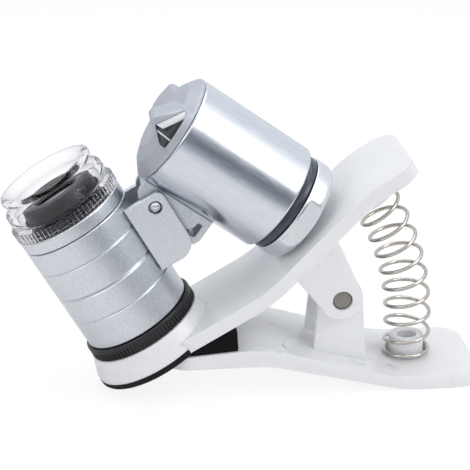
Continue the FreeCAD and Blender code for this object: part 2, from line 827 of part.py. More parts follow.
def make_adapter():
    """Plain sleeve that joins the arm to the barrel and carries the focus ring."""
    body = new_body("ring_adapter")
    length = scope_foot + s.sleeve_depth - s.sleeve_seat
    revolve(body, [(s.sleeve_bore, 0), (s.sleeve_radius, 0), (s.sleeve_radius, length),
                   (s.sleeve_bore, length)])
    scope_frame.hold(body, z=s.sleeve_seat)
    return body


def make_barrel():
    """Metal barrel with turned lines, and the two hinge ears of the lamp."""
    body = new_body("barrel_shell")
    radius = s.barrel_radius
    length = s.barrel_length
    profile = [(0, 0), (radius, 0)]
    for drop, depth in ((s.lower_line_drop, s.line_depth), (s.middle_groove_drop, s.groove_depth),
                        (s.upper_line_drop, s.line_depth)):
        line = length - drop
        profile += [(radius, line - depth / 2), (radius - depth, line), (radius, line + depth / 2)]
    revolve(body, profile + [(radius, length), (0, length)])
    ear_low = length - s.hinge_ear_bottom
    ear_high = length - s.hinge_ear_top
    reach = radius + s.hinge_ear_reach
    ears = rectangle(s.barrel_bore, ear_low, reach, ear_high)
    pad(body, outline(body, "XZ_Plane", ears), s.hinge_ear_outer * 2)
    margin = s.cut_margin
    slot = rectangle(radius, ear_low - margin, reach + margin, ear_high + margin)
    pocket(body, outline(body, "XZ_Plane", slot), (s.hinge_ear_outer - s.hinge_ear_wall) * 2)
    side = s.hinge_ear_outer - s.hinge_ear_wall / 2
    round_edges(body, s.hinge_ear_corner, [(reach, side, ear_low), (reach, -side, ear_low)])
    round_edges(body, s.hinge_ear_top, [(reach, side, ear_high), (reach, -side, ear_high)])
    lip = length - s.nose_depth
    groove(body, [(0, -margin), (s.sleeve_radius, -margin), (s.sleeve_radius, s.sleeve_depth),
                  (s.barrel_bore, s.sleeve_depth), (s.barrel_bore, lip), (s.nose_radius, lip),
                  (s.nose_radius, length + margin), (0, length + margin)])
    hole_z = length - s.hinge_drop
    hole = circle(body, "XZ_Plane", rivet_side, hole_z, s.rivet_radius)
    pocket(body, hole, (s.hinge_ear_outer + margin) * 2)
    for way in (1, -1):
        face = (s.hinge_ear_outer - s.rivet_sink) * way
        sink = circle(body, "XZ_Plane", rivet_side, hole_z, s.rivet_sink_radius, face)
        pocket(body, sink, s.rivet_sink * 2, False, way > 0)
    scope_frame.hold(body, z=scope_foot)
    return body


def make_collar():
    """Metal collar above the barrel, with the dark joint line under it."""
    body = new_body("barrel_collar")
    bore = s.nose_radius
    outer = s.barrel_radius
    revolve(body, [(bore, 0), (outer - s.groove_depth, 0), (outer - s.groove_depth, s.collar_gap),
                   (outer, s.collar_gap), (outer, s.collar_height), (bore, s.collar_height)])
    scope_frame.hold(body, z=barrel_top)
    return body


def make_cup():
    """Clear open cup that sets the distance to the specimen."""
    body = new_body("clear_cup")
    wall = s.cup_wall
    seat = s.nose_radius + s.fit_clearance
    throat = s.cup_neck_radius - wall
    revolve(body, [(seat, 0), (s.cup_flange_radius, 0), (s.cup_flange_radius, s.cup_flange_height),
                   (s.cup_waist_radius, s.cup_waist), (s.cup_shoulder_radius, s.cup_shoulder_low),
                   (s.cup_shoulder_radius, s.cup_shoulder_high), (s.cup_neck_radius, s.cup_neck),
                   (s.cup_lip_radius, s.cup_lip), (s.cup_lip_radius, s.cup_height),
                   (throat + s.cup_lip_round, s.cup_height), (throat, s.cup_lip),
                   (throat, s.cup_neck), (s.cup_waist_radius - wall, s.cup_shoulder_high - wall / 2),
                   (s.cup_waist_radius - wall, s.cup_waist), (seat, s.nose_straight)])
    round_edges(body, s.cup_lip_round, [(-s.cup_lip_radius, 0, s.cup_height)])
    notch = v_notch(body, s.cup_flange_radius, s.cup_rib_depth, s.cup_rib_rim)
    cut = pocket(body, notch, s.cup_flange_height - s.cup_rib_rim * 2, False, True)
    repeat_round(body, cut, s.cup_rib_count)
    scope_frame.hold(body, z=collar_top)
    return body


def make_nose():
    """Black nose tube that holds the objective."""
    body = new_body("nose_tube")
    foot = s.collar_height + s.nose_depth
    top = foot + s.nose_height
    ledge = top - s.retainer_height - s.objective_thickness
    revolve(body, [(s.nose_bore, 0), (s.nose_radius, 0), (s.nose_radius, foot + s.nose_straight),
                   (s.nose_top_radius, top), (s.objective_radius, top), (s.objective_radius, ledge),
                   (s.nose_bore, ledge)])
    scope_frame.hold(body, z=barrel_top - s.nose_depth)
    return body


def make_optics():
    """Objective with its retaining ring, and the sliding eyepiece tube."""
    objective = lens("objective_lens", s.objective_radius, s.objective_thickness, s.objective_sag)
    nose_top = collar_top + s.nose_height
    scope_frame.hold(objective, z=nose_top - s.retainer_height - s.objective_thickness)
    retainer = new_body("lens_retainer")
    revolve(retainer, [(s.nose_bore, 0), (s.objective_radius, 0), (s.objective_radius, s.retainer_height),
                       (s.nose_bore, s.retainer_height)])
    scope_frame.hold(retainer, z=nose_top - s.retainer_height)
    tube = new_body("lens_tube")
    shelf = s.eyepiece_sag + s.eyepiece_thickness
    step = s.lens_tube_bore - s.groove_depth * 2
    revolve(tube, [(s.lens_tube_bore, 0), (s.lens_tube_radius, 0), (s.lens_tube_radius, s.lens_tube_length),
                   (step, s.lens_tube_length), (step, shelf), (s.lens_tube_bore, shelf)])
    scope_frame.hold(tube, z=s.lens_tube_start)
    eyepiece = lens("eyepiece_lens", s.lens_tube_bore, s.eyepiece_thickness, s.eyepiece_sag)
    scope_frame.hold(eyepiece, z=s.lens_tube_start + s.eyepiece_sag)


def make_rivet():
    """Hinge rivet through the barrel's ears and the lamp bracket."""
    body = new_body("hinge_rivet")
    half = s.hinge_ear_outer - s.rivet_recess
    pad(body, circle(body, "XZ_Plane", 0, 0, s.rivet_radius), half * 2)
    ends = [(-s.rivet_radius, half, 0), (-s.rivet_radius, -half, 0)]
    round_edges(body, s.rivet_recess, ends)
    scope_frame.hold(body, x=rivet_side, z=rivet_height)
    return body


def make_lamp_sleeve():
    """Metal sleeve of the pen lamp."""
    body = new_body("lamp_sleeve")
    revolve(body, [(s.lamp_bore, -s.lamp_length), (s.lamp_radius, -s.lamp_length), (s.lamp_radius, 0),
                   (s.lamp_bore, 0)])
    lamp_frame.hold(body)
    return body


def led_seat():
    """Middle of the beak's lower face, clear of its rounded tip, where the diodes look out."""
    side = (s.beak_low + s.beak_tip) / 2
    height = (s.head_dome + s.beak_height) / 2
    return side - s.led_shift, height - s.led_drop


def make_lamp_head():
    """Lamp head: shallow dome with a transverse beak that aims the diodes at the cup."""
    body = new_body("lamp_head")
    spigot = s.lamp_bore - s.fit_clearance
    revolve(body, [(0, -s.head_spigot), (spigot, -s.head_spigot), (spigot, 0), (s.lamp_radius, 0),
                   (s.lamp_radius, s.head_rim), (s.head_shoulder_radius, s.head_shoulder),
                   (s.beak_high, s.head_dome), (0, s.head_dome)])
    foot = s.head_dome - s.head_rim
    beak = outline(body, "XZ_Plane", [(s.beak_low, 0), (s.beak_high, 0), (s.beak_high, foot),
                                      (s.beak_tip, s.beak_height), (s.beak_low, foot)])
    pad(body, beak, (s.lamp_radius + s.cut_margin) * 2)
    outside = s.lamp_radius * 2
    top = s.beak_height + s.cut_margin
    groove(body, [(s.lamp_radius, 0), (outside, 0), (outside, top), (s.lamp_radius, top)])
    round_edges(body, s.beak_round, [(s.beak_tip, 0, s.beak_height)])
    recess = [(s.window_low, s.window_base), (s.window_high, s.window_base),
              (s.window_apex_side, s.window_apex)]
    for way in (1, -1):
        floor = (s.lamp_radius - s.window_depth) * way
        pocket(body, outline(body, "XZ_Plane", recess, floor), s.window_depth * 2, False, way > 0)
    side, height = led_seat()
    for way in (1, -1):
        hole = body.newObject("PartDesign::SubtractiveCylinder", "DiodeHole")
        hole.AttachmentSupport = [(origin_feature(body, "XY_Plane"), "")]
        hole.MapMode = "FlatFace"
        bind(hole, "Radius", s.led_radius + s.fit_clearance)
        bind(hole, "Height", s.led_length * 2)
        turned = Rotation(Vector(0, 1, 0), 180 - s.led_angle.value)
        across = side - sin(s.led_angle) * s.led_length
        up = height + cos(s.led_angle) * s.led_length
        y = s.led_spacing * way
        hole.AttachmentOffset = Placement(Vector(across.value, y.value, up.value), turned)
        hole.setExpression("AttachmentOffset.Base.x", across.text)
        hole.setExpression("AttachmentOffset.Base.y", y.text)
        hole.setExpression("AttachmentOffset.Base.z", up.text)
    lamp_frame.hold(body)
    return body


def make_windows():
    """Dark glossy block in each end of the beak."""
    inset = s.window_inset
    base = s.window_base + s.fit_clearance * 2
    for way, name in ((1, "lamp_window_near"), (-1, "lamp_window_far")):
        body = new_body(name)
        points = [(s.window_low + inset, base), (s.window_high - inset, base),
                  (s.window_apex_side, s.window_apex - inset)]
        floor = (s.lamp_radius - s.window_depth) * way
        pad(body, outline(body, "XZ_Plane", points, floor), s.window_depth - s.window_gap, False, way < 0)
        lamp_frame.hold(body)


def make_leds():
    """One white and one ultraviolet diode, each a round body with a domed end."""
    side, height = led_seat()
    for way, name in ((1, "led_white"), (-1, "led_uv")):
        body = new_body(name)
        radius = s.led_radius
        revolve(body, [(0, 0), (radius, 0), (radius, s.led_length - radius), (0, s.led_length - radius)])
        round_edges(body, s.led_round, [(-radius, 0, s.led_length - radius)])
        across = side + sin(s.led_angle) * s.led_length
        up = height - cos(s.led_angle) * s.led_length
        lamp_frame.hold(body, x=across, y=s.led_spacing * way, z=up, turn=s.led_angle)


def make_lamp_inside():
    """Board, contacts, button cells and their holder inside the sleeve."""
    board = new_body("led_board")
    board_radius = s.lamp_bore - s.fit_clearance * 2
    revolve(board, [(0, 0), (board_radius, 0), (board_radius, s.board_thickness), (0, s.board_thickness)])
    lamp_frame.hold(board, z=-s.head_spigot - s.board_thickness)
    holder_length = s.lamp_length - s.switch_plug - s.holder_start
    holder = new_body("battery_holder")
    bore = s.cell_radius + s.fit_clearance * 2
    revolve(holder, [(bore, 0), (board_radius, 0), (board_radius, holder_length), (bore, holder_length)])
    lamp_frame.hold(holder, z=-s.lamp_length + s.switch_plug)
    bottom = -s.lamp_length + s.switch_plug
    for name, height in (("contact_plate_rear", bottom), ("contact_plate_front",
                         bottom + s.contact_thickness + s.cell_height * s.cell_count)):
        plate = new_body(name)
        revolve(plate, [(0, 0), (s.cell_radius, 0), (s.cell_radius, s.contact_thickness),
                        (0, s.contact_thickness)])
        lamp_frame.hold(plate, z=height)
    for index in range(int(s.cell_count.value)):
        cell = new_body(f"button_cell_{index + 1}")
        revolve(cell, [(0, 0), (s.cell_radius, 0), (s.cell_radius, s.cell_height), (0, s.cell_height)])
        lamp_frame.hold(cell, z=bottom + s.contact_thickness + s.cell_height * index)


def make_switch():
    """Dark switch base in the sleeve's end, and the metal cap that turns on its stem."""
    base = new_body("switch_base")
    plug = s.lamp_bore - s.fit_clearance
    ring_end = -s.lamp_length - s.switch_ring_height
    revolve(base, [(0, -s.lamp_length + s.switch_plug), (0, ring_end - s.switch_stem),
                   (s.switch_stem_radius, ring_end - s.switch_stem), (s.switch_stem_radius, ring_end),
                   (s.switch_ring_radius, ring_end), (s.switch_ring_radius, -s.lamp_length),
                   (plug, -s.lamp_length), (plug, -s.lamp_length + s.switch_plug)])
    lamp_frame.hold(base)
    cap = new_body("switch_cap")
    bore = s.switch_stem_radius + s.ring_clearance
    top = ring_end - s.cap_gap
    end = top - s.cap_length
    revolve(cap, [(0, end), (s.cap_radius, end), (s.cap_radius, top), (bore, top),
                  (bore, end + s.cap_end - s.cap_gap), (0, end + s.cap_end - s.cap_gap)])
    round_edges(cap, s.cap_round, [(-s.cap_radius, 0, end)])
    for way in (1, -1):
        grip = rectangle(s.grip_low, end - s.cut_margin, s.grip_high, top - s.grip_start)
        face = outline(cap, "XZ_Plane", grip, s.grip_flat * way)
        pocket(cap, face, s.cap_radius, False, way > 0)
    lamp_frame.hold(cap)


def make_bracket():
    """U-shaped bracket soldered under the lamp sleeve, with its curled end tab."""
    body = new_body("lamp_bracket")
    under = s.lamp_radius
    inside = s.bracket_rise - under
    floor = -under - s.bracket_floor
    cheek = -under - s.bracket_depth
    width = s.bracket_half_width * 2
    pad(body, outline(body, "XZ_Plane", rectangle(floor, -s.bracket_end, inside, -s.bracket_start)), width)
    inner = s.bracket_half_width - s.bracket_wall
    cheeks = rectangle(cheek, -s.bracket_cheek_end, inside, -s.bracket_start)
    for way in (1, -1):
        pad(body, outline(body, "XZ_Plane", cheeks, inner * way), s.bracket_wall, False, way < 0)
    side = inner + s.bracket_wall / 2
    ends = (-s.bracket_cheek_end, -s.bracket_start)
    corners = [(cheek, side * way, end) for way in (1, -1) for end in ends]
    round_edges(body, s.bracket_round, corners)
    tab = -under - s.bracket_tab_depth
    wall = s.bracket_wall
    end = -s.bracket_end
    curl_top = end + s.tab_curl_height
    curl = [(floor, end + wall), (floor, end), (tab + wall, end), (tab, end + s.tab_lip),
            (tab + s.tab_curl, curl_top), (tab + s.tab_curl_width, curl_top), (tab + wall, end + wall)]
    pad(body, outline(body, "XZ_Plane", curl), width)
    seat = circle(body, "XY_Plane", 0, 0, s.lamp_radius + s.solder_gap)
    pocket(body, seat, (s.bracket_end + s.cut_margin) * 2)
    hole = s.rivet_radius + s.running_clearance
    pocket(body, circle(body, "XZ_Plane", -lamp_hinge, -s.hinge_to_head, hole), width * 2)
    lamp_frame.hold(body)
    return body


def check_document():
    """Stop where any object failed or any piece is not one valid solid."""
    for item in doc.Objects:
        if {"Invalid", "Error"} & set(item.State):
            raise RuntimeError(f"{item.Label} failed: {item.State}")
    for piece in pieces:
        shape = piece.Shape
        if shape.isNull() or not shape.isValid() or not shape.Solids:
            raise RuntimeError(f"{piece.Label} is not a valid solid")


make_lower_arm()
make_pin()
make_upper_arm()
make_jaw_pad()
make_phone_pad()
make_spring()
make_focus_ring()
make_adapter()
make_barrel()
make_collar()
make_cup()
make_nose()
make_optics()
make_rivet()
make_lamp_sleeve()
make_lamp_head()
make_windows()
make_leds()
make_lamp_inside()
make_switch()
make_bracket()

doc.recompute()
check_document()
os.makedirs("parts", exist_ok=True)
for piece in pieces:
    piece.Shape.exportStep(f"parts/{piece.Label}.step")
    box = piece.Shape.BoundBox
    corners = (box.XMin, box.XMax, box.YMin, box.YMax, box.ZMin, box.ZMax)
    print(f"{piece.Label:22s} {piece.Shape.Volume:9.2f}", *[f"{corner:7.2f}" for corner in corners])
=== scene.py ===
"""Looks of the clip-on pocket microscope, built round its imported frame.

The sizes below are millimetres in three frames turned about Y: the table frame under the
pivot pin, the scope frame on the optical axis at the telephone's face, and the lamp frame on
the lamp's axis where its head meets its sleeve.  Every finished mesh is in metres, in the
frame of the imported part.
"""
import json
import logging
import math
from dataclasses import dataclass, field
from enum import Enum
from typing import Any, Iterable, Sequence

import bmesh
import bpy
from mathutils import Matrix, Vector

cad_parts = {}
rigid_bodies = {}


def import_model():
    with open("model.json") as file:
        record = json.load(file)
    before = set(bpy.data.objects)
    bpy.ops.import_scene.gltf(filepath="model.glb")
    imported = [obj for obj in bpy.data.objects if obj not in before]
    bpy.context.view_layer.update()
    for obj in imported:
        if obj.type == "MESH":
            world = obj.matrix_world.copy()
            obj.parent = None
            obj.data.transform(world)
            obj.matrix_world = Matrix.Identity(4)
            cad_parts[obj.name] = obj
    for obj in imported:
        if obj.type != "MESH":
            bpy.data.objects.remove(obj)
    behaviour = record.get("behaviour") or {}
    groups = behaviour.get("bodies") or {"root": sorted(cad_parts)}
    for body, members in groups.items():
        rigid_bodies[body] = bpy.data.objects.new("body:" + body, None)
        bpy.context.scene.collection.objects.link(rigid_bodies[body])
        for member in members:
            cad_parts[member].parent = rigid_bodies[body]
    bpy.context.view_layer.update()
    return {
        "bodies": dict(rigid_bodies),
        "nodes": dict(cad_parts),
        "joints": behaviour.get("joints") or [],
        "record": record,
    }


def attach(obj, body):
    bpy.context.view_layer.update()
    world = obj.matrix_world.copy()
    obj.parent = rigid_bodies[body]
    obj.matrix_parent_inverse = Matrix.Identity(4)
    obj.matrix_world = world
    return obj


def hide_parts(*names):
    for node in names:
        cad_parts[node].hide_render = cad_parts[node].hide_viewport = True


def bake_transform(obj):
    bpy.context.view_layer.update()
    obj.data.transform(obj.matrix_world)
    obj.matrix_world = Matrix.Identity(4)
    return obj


log = logging.getLogger("microscope")

Point = tuple[float, float]
Corner = tuple[float, ...]
Place = tuple[float, float, float]
Mesh = bpy.types.Mesh
Tree = bpy.types.NodeTree
Node = bpy.types.Node
Source = bpy.types.Node | bpy.types.NodeSocket

MM = 0.001
# Steps round pins, round lenses and round the large turned parts
SMALL, MIDDLE, LARGE = 64, 96, 180
# Degrees between two points of an arc: on an arm's wide bend, and on a small corner
BEND_STEP, CORNER_STEP = 2.0, 15.0
# Edges that turn by more than this, in degrees, are rims: on side plates, and on bent strips
PLATE_RIM, STRIP_RIM = 50.0, 55.0
# Turns the axis of a turned part from Z to Y
ACROSS = Matrix.Rotation(math.pi / 2, 4, "X")


class Body(Enum):
    """The bodies that the pieces ride on."""

    LOWER_CLIP = "lower_clip"
    SCOPE = "scope"
    FOCUS = "focus_wheel"
    EYEPIECE = "eyepiece"
    LAMP = "lamp"
    SWITCH = "switch"


@dataclass(frozen=True)
class TurnedFrame:
    """A frame in the symmetry plane, in millimetres, turned about Y."""

    x: float
    z: float
    angle: float = 0.0

    def matrix(self) -> Matrix:
        """Transform from this frame's millimetres to the part's metres."""
        turn = Matrix.Rotation(-math.radians(self.angle), 4, "Y")
        place = Matrix.Translation((self.x * MM, 0.0, self.z * MM))
        return place @ turn @ Matrix.Scale(MM, 4)

    def child(self, x: float, z: float, turn: float = 0.0) -> "TurnedFrame":
        """Return the frame at a point of this one, in millimetres, turned further by some degrees."""
        turned = math.radians(self.angle)
        across = self.x + math.cos(turned) * x - math.sin(turned) * z
        up = self.z + math.sin(turned) * x + math.cos(turned) * z
        return TurnedFrame(across, up, self.angle + turn)


# Tilt of the upper arm over the table, and of the lamp against the barrel, in degrees
TILT = 29.88
FOLD = 24.7
# The pivot pin over the table, and from the optical axis along and below the upper arm
PIVOT_X = 15.478
PIVOT_HEIGHT = 15.1
PIVOT_ALONG = 30.42
PIVOT_BELOW = 6.86
TABLE = TurnedFrame(PIVOT_X, 0.0)
PIVOT = TurnedFrame(PIVOT_X, PIVOT_HEIGHT, TILT)
SCOPE = PIVOT.child(-PIVOT_ALONG, PIVOT_BELOW)
RIVET = SCOPE.child(12.7, 22.6, FOLD)
LAMP = RIVET.child(11.1, 3.9)


def linear(code: str) -> tuple[float, float, float, float]:
    """Turn an sRGB hex colour such as "#c0ffee" into linear red, green, blue and alpha."""
    channels = [int(code[index:index + 2], 16) / 255 for index in (1, 3, 5)]
    red, green, blue = [value / 12.92 if value <= 0.04045 else ((value + 0.055) / 1.055) ** 2.4
                        for value in channels]
    return red, green, blue, 1.0


def add_node(tree: Tree, kind: str, inputs: dict[Any, Any] | None = None, **settings: Any) -> Node:
    """Add a node with its settings, values and links.

    Args:
        tree: Tree that receives the node.
        kind: Type name of the node.
        inputs: Socket name or index to a value, to an output, or to a node that feeds it from
            its first output.
        settings: Properties of the node.

    Returns:
        The new node.
    """
    node = tree.nodes.new(kind)
    for name, value in settings.items():
        setattr(node, name, value)
    for key, value in (inputs or {}).items():
        if isinstance(value, bpy.types.Node):
            value = value.outputs[0]
        if isinstance(value, bpy.types.NodeSocket):
            tree.links.new(value, node.inputs[key])
        else:
            node.inputs[key].default_value = value
    return node


def new_material(name: str) -> tuple[bpy.types.Material, Tree]:
    """Return a material and its emptied node tree."""
    material = bpy.data.materials.new(name)
    material.use_nodes = True
    material.node_tree.nodes.clear()
    return material, material.node_tree


def grain(tree: Tree, size_mm: float, detail: float = 2.0, stretch: Place = (1.0, 1.0, 1.0),
          angle: float = 0.0) -> Node:
    """Add noise whose grains have a real size, optionally stretched along a turned frame.

    Args:
        tree: Tree that receives the nodes.
        size_mm: Width of one grain in millimetres.
        detail: Octaves of the noise.
        stretch: Relative frequency along the three turned axes.
        angle: Turn of those axes about Y in degrees.

    Returns:
        The noise node.
    """
    spot = add_node(tree, "ShaderNodeTexCoord").outputs["Object"]
    turned = add_node(tree, "ShaderNodeMapping", {"Vector": spot,
                                                  "Rotation": (0.0, math.radians(angle), 0.0)})
    scaled = add_node(tree, "ShaderNodeMapping", {"Vector": turned, "Scale": stretch})
    return add_node(tree, "ShaderNodeTexNoise", {"Vector": scaled, "Scale": 1.0 / (size_mm * MM),
                                                 "Detail": detail})


def spread(tree: Tree, source: Source, low: float, high: float) -> Node:
    """Map noise, which stays between about 0.3 and 0.7, to a range."""
    return add_node(tree, "ShaderNodeMapRange", {"Value": source, "From Min": 0.3, "From Max": 0.7,
                                                 "To Min": low, "To Max": high})


def blend_colours(tree: Tree, share: Source, low: Source | str, high: Source | str) -> bpy.types.NodeSocket:
    """Mix two colours, each a hex code or a source, by a share between zero and one."""
    inputs = {"Factor": share}
    for index, colour in ((6, low), (7, high)):
        inputs[index] = linear(colour) if isinstance(colour, str) else colour
    return add_node(tree, "ShaderNodeMix", inputs, data_type="RGBA").outputs[2]


def seen_rays(tree: Tree, path: Node) -> Node:
    """Return one for rays that reach the camera, straight or through a clear piece."""
    return add_node(tree, "ShaderNodeMath", {0: path.outputs["Is Camera Ray"],
                                             1: path.outputs["Is Transmission Ray"]}, operation="MAXIMUM")


@dataclass(frozen=True)
class Skin:
    """What every finish has: two tones, a range of roughness and a grain with a real size."""

    name: str
    first: str
    second: str
    smooth: float
    rough: float
    grain_mm: float
    bump_mm: float

    def relief(self, tree: Tree, noise: Node) -> Node:
        """Return the fine relief of the surface."""
        return add_node(tree, "ShaderNodeBump", {"Height": noise, "Strength": 1.0,
                                                 "Distance": self.bump_mm * MM})

    def shader(self, tree: Tree) -> Node:
        """Return the shader, which each kind of finish makes in its own way."""
        raise NotImplementedError

    def build(self) -> bpy.types.Material:
        """Return the material."""
        material, tree = new_material(self.name)
        add_node(tree, "ShaderNodeOutputMaterial", {"Surface": self.shader(tree)})
        return material


@dataclass(frozen=True)
class Metal(Skin):
    """A metal, whose grain shows in its tone, its gloss and its relief."""

    stretch: Place = (1.0, 1.0, 1.0)
    angle: float = 0.0
    metallic: float = 1.0

    def shader(self, tree: Tree) -> Node:
        """Return the shader."""
        noise = grain(tree, self.grain_mm, 3.0, self.stretch, self.angle)
        return add_node(tree, "ShaderNodeBsdfPrincipled", {
            "Base Color": blend_colours(tree, spread(tree, noise, 0.0, 1.0), self.first, self.second),
            "Metallic": self.metallic,
            "Roughness": spread(tree, noise, self.smooth, self.rough),
            "Normal": self.relief(tree, noise)})


@dataclass(frozen=True)
class Plastic(Skin):
    """An opaque plastic or rubber: tone and gloss change slowly, over a dozen of its grains."""

    coat: float = 0.0
    glow_depth_mm: float = 0.0
    ior: float = 1.5

    def shader(self, tree: Tree) -> Node:
        """Return the shader."""
        broad = spread(tree, grain(tree, self.grain_mm * 12.0), 0.0, 1.0)
        inputs = {"Base Color": blend_colours(tree, broad, self.first, self.second),
                  "Roughness": spread(tree, broad, self.smooth, self.rough),
                  "IOR": self.ior,
                  "Coat Weight": self.coat,
                  "Coat Roughness": 0.12}
        if self.bump_mm > 0.0:
            inputs["Normal"] = self.relief(tree, grain(tree, self.grain_mm, 3.0))
        if self.glow_depth_mm > 0.0:
            # Light goes a little way into the plastic, which softens its shaded side
            inputs |= {"Subsurface Weight": 0.25, "Subsurface Radius": (1.0, 0.95, 0.9),
                       "Subsurface Scale": self.glow_depth_mm * MM}
        return add_node(tree, "ShaderNodeBsdfPrincipled", inputs)


@dataclass(frozen=True)
class Clear(Skin):
    """A clear plastic, resin or glass: the first tone face-on, the second edge-on."""

    ior: float = 1.5

    def shader(self, tree: Tree) -> Node:
        """Return the shader."""
        noise = grain(tree, self.grain_mm)
        # A wall seen edge-on holds more plastic, so it turns grey there
        facing = add_node(tree, "ShaderNodeLayerWeight", {"Blend": 0.5}).outputs["Facing"]
        steep = add_node(tree, "ShaderNodeMath", {0: facing, 1: 2.2}, operation="POWER")
        return add_node(tree, "ShaderNodeBsdfPrincipled", {
            "Base Color": blend_colours(tree, steep, self.first, self.second),
            "Roughness": spread(tree, noise, self.smooth, self.rough),
            "IOR": self.ior,
            "Transmission Weight": 1.0,
            "Normal": self.relief(tree, noise)})


class Finish:
    """Every finish of the object, each built once and kept by its name."""

    def __init__(self) -> None:
        """Build the finishes."""
        table = (
            # Lacquered brass tube: a satin silver with a fine metallic grain
            Metal("satin_silver_barrel", "#cdd2d8", "#e9ecef", 0.3, 0.42, 0.22, 0.005),
            # Drawn tube, polished along its length before plating
            Metal("drawn_silver_sleeve", "#d6dae0", "#e3e6ea", 0.2, 0.25, 0.3, 0.0012,
                  (1.0, 1.0, 0.12), TILT + FOLD),
            # Moulded plastic with a silver coat: flat and even
            Metal("coated_abs_head", "#b4b8c1", "#c0c4cc", 0.46, 0.54, 0.2, 0.003, metallic=0.4),
            # Stamped and plated sheet
            Metal("plated_sheet", "#bfc4ca", "#dadee2", 0.3, 0.46, 0.2, 0.005),
            # Plated cap: bright, with soft reflections
            Metal("bright_plated_cap", "#dfe1e5", "#e9ebee", 0.28, 0.34, 0.6, 0.001),
            # Turned steel pin end
            Metal("turned_steel_pin", "#85817b", "#9a9690", 0.26, 0.4, 0.3, 0.004),
            # Nickel-plated spring wire, slightly warm
            Metal("nickel_spring_wire", "#b9b3ab", "#d4cfc8", 0.14, 0.24, 0.35, 0.002),
            # Nickel skin of a button cell
            Metal("button_cell_can", "#9c9c9a", "#b5b5b2", 0.25, 0.4, 0.4, 0.004),
            # Brass contact sheet
            Metal("brass_contact", "#a48a4a", "#bfa662", 0.25, 0.4, 0.3, 0.004),
            # White moulded plastic with a satin gloss, so even that it has no relief
            Plastic("white_abs", "#f4f5f8", "#f7f8fa", 0.25, 0.29, 0.9, 0.0, 0.2, 0.6),
            # Black plastic of the focus wheel
            Plastic("black_abs_wheel", "#161519", "#1f1e22", 0.36, 0.5, 0.3, 0.004),
            # Black anodised tube inside the cup
            Plastic("black_anodised_tube", "#1d1d20", "#2a2a2e", 0.28, 0.42, 0.3, 0.004),
            # Closed-cell foam rubber
            Plastic("foam_rubber", "#08080a", "#0f0f12", 0.62, 0.8, 0.35, 0.02, ior=1.25),
            # Smooth black rubber of the telephone pad
            Plastic("smooth_black_rubber", "#0d0d11", "#15161a", 0.4, 0.55, 0.4, 0.006, ior=1.3),
            # Dark glossy window over the diodes
            Plastic("smoked_window", "#2c2e34", "#494c54", 0.08, 0.16, 0.8, 0.002, 0.4),
            # Dark grey ring between sleeve and cap: partly its own dark tone, partly painted reflection of
            # the dark groove there
            Plastic("dark_grey_abs", "#343a48", "#3f4656", 0.24, 0.34, 0.4, 0.002, 0.2),
            # Green board lacquer
            Plastic("board_lacquer", "#123d22", "#1a5230", 0.25, 0.4, 0.4, 0.003),
            # Thin clear plastic that hardly bends what is seen through it
            Clear("clear_polycarbonate", "#fcfcfe", "#8e919d", 0.01, 0.03, 1.2, 0.001, 1.14),
            # Optical glass
            Clear("optical_glass", "#eef3f6", "#ffffff", 0.0, 0.01, 1.2, 0.001, 1.52),
            # Water-clear diode resin
            Clear("clear_diode_resin", "#f3f4f1", "#ffffff", 0.02, 0.06, 1.2, 0.001, 1.5),
        )
        self.materials = {item.name: item.build() for item in table}

    def __getitem__(self, name: str) -> bpy.types.Material:
        """Return a finish by its name."""
        return self.materials[name]


def round_corners(corners: Sequence[Corner], closed: bool = True, step: float = CORNER_STEP) -> list[Point]:
    """Replace the corners of an outline by arcs.

    Args:
        corners: Places, each with a radius where it is rounded.
        closed: Whether the last corner joins the first.
        step: Degrees of turn between two points of an arc.

    Returns:
        The points of the rounded outline.
    """
    points: list[Point] = []
    count = len(corners)
    for index, (x, y, *rounding) in enumerate(corners):
        if not rounding or (not closed and index in (0, count - 1)):
            points.append((x, y))
            continue
        here, radius = Vector((x, y)), rounding[0]
        before = Vector(corners[index - 1][:2]) - here
        after = Vector(corners[(index + 1) % count][:2]) - here
        turn = math.pi - before.angle(after)
        before.normalize()
        after.normalize()
        reach = radius * math.tan(turn / 2)
        centre = here + (before + after).normalized() * (radius / math.cos(turn / 2))
        first = here + before * reach - centre
        sweep = first.angle_signed(here + after * reach - centre)
        steps = max(2, int(math.degrees(turn) / step) + 1)
        for part in range(steps + 1):
            angle = -sweep * part / steps
            turned = Vector((first.x * math.cos(angle) - first.y * math.sin(angle),
                             first.x * math.sin(angle) + first.y * math.cos(angle)))
            points.append(tuple(centre + turned))
    return points


def linked(name: str, data: bpy.types.ID) -> bpy.types.Object:
    """Return a new object of the scene that shows the data."""
    item = bpy.data.objects.new(name, data)
    bpy.context.scene.collection.objects.link(item)
    return item


def applied(piece: bpy.types.Object) -> Mesh:
    """Return the object's mesh with its modifiers applied, and remove the object."""
    graph = bpy.context.evaluated_depsgraph_get()
    mesh = bpy.data.meshes.new_from_object(piece.evaluated_get(graph))
    bpy.data.objects.remove(piece)
    return mesh


def put_back(work: bmesh.types.BMesh, mesh: Mesh) -> Mesh:
    """Write the edited form into its mesh, shaded smooth, and return the mesh."""
    work.to_mesh(mesh)
    work.free()
    mesh.shade_smooth()
    return mesh


def new_mesh(verts: Sequence[Place], faces: Sequence[Sequence[int]]) -> Mesh:
    """Make a mesh with merged doubles and faces that point outwards.

    Args:
        verts: Places in millimetres.
        faces: Vertex indices of each face.

    Returns:
        The mesh.
    """
    mesh = bpy.data.meshes.new("shape")
    mesh.from_pydata(verts, [], faces)
    work = bmesh.new()
    work.from_mesh(mesh)
    bmesh.ops.remove_doubles(work, verts=work.verts, dist=1e-5)
    bmesh.ops.recalc_face_normals(work, faces=work.faces)
    return put_back(work, mesh)


def join_meshes(meshes: Iterable[Mesh]) -> Mesh:
    """Put several meshes into one."""
    work = bmesh.new()
    for mesh in meshes:
        work.from_mesh(mesh)
    return put_back(work, bpy.data.meshes.new("joined"))


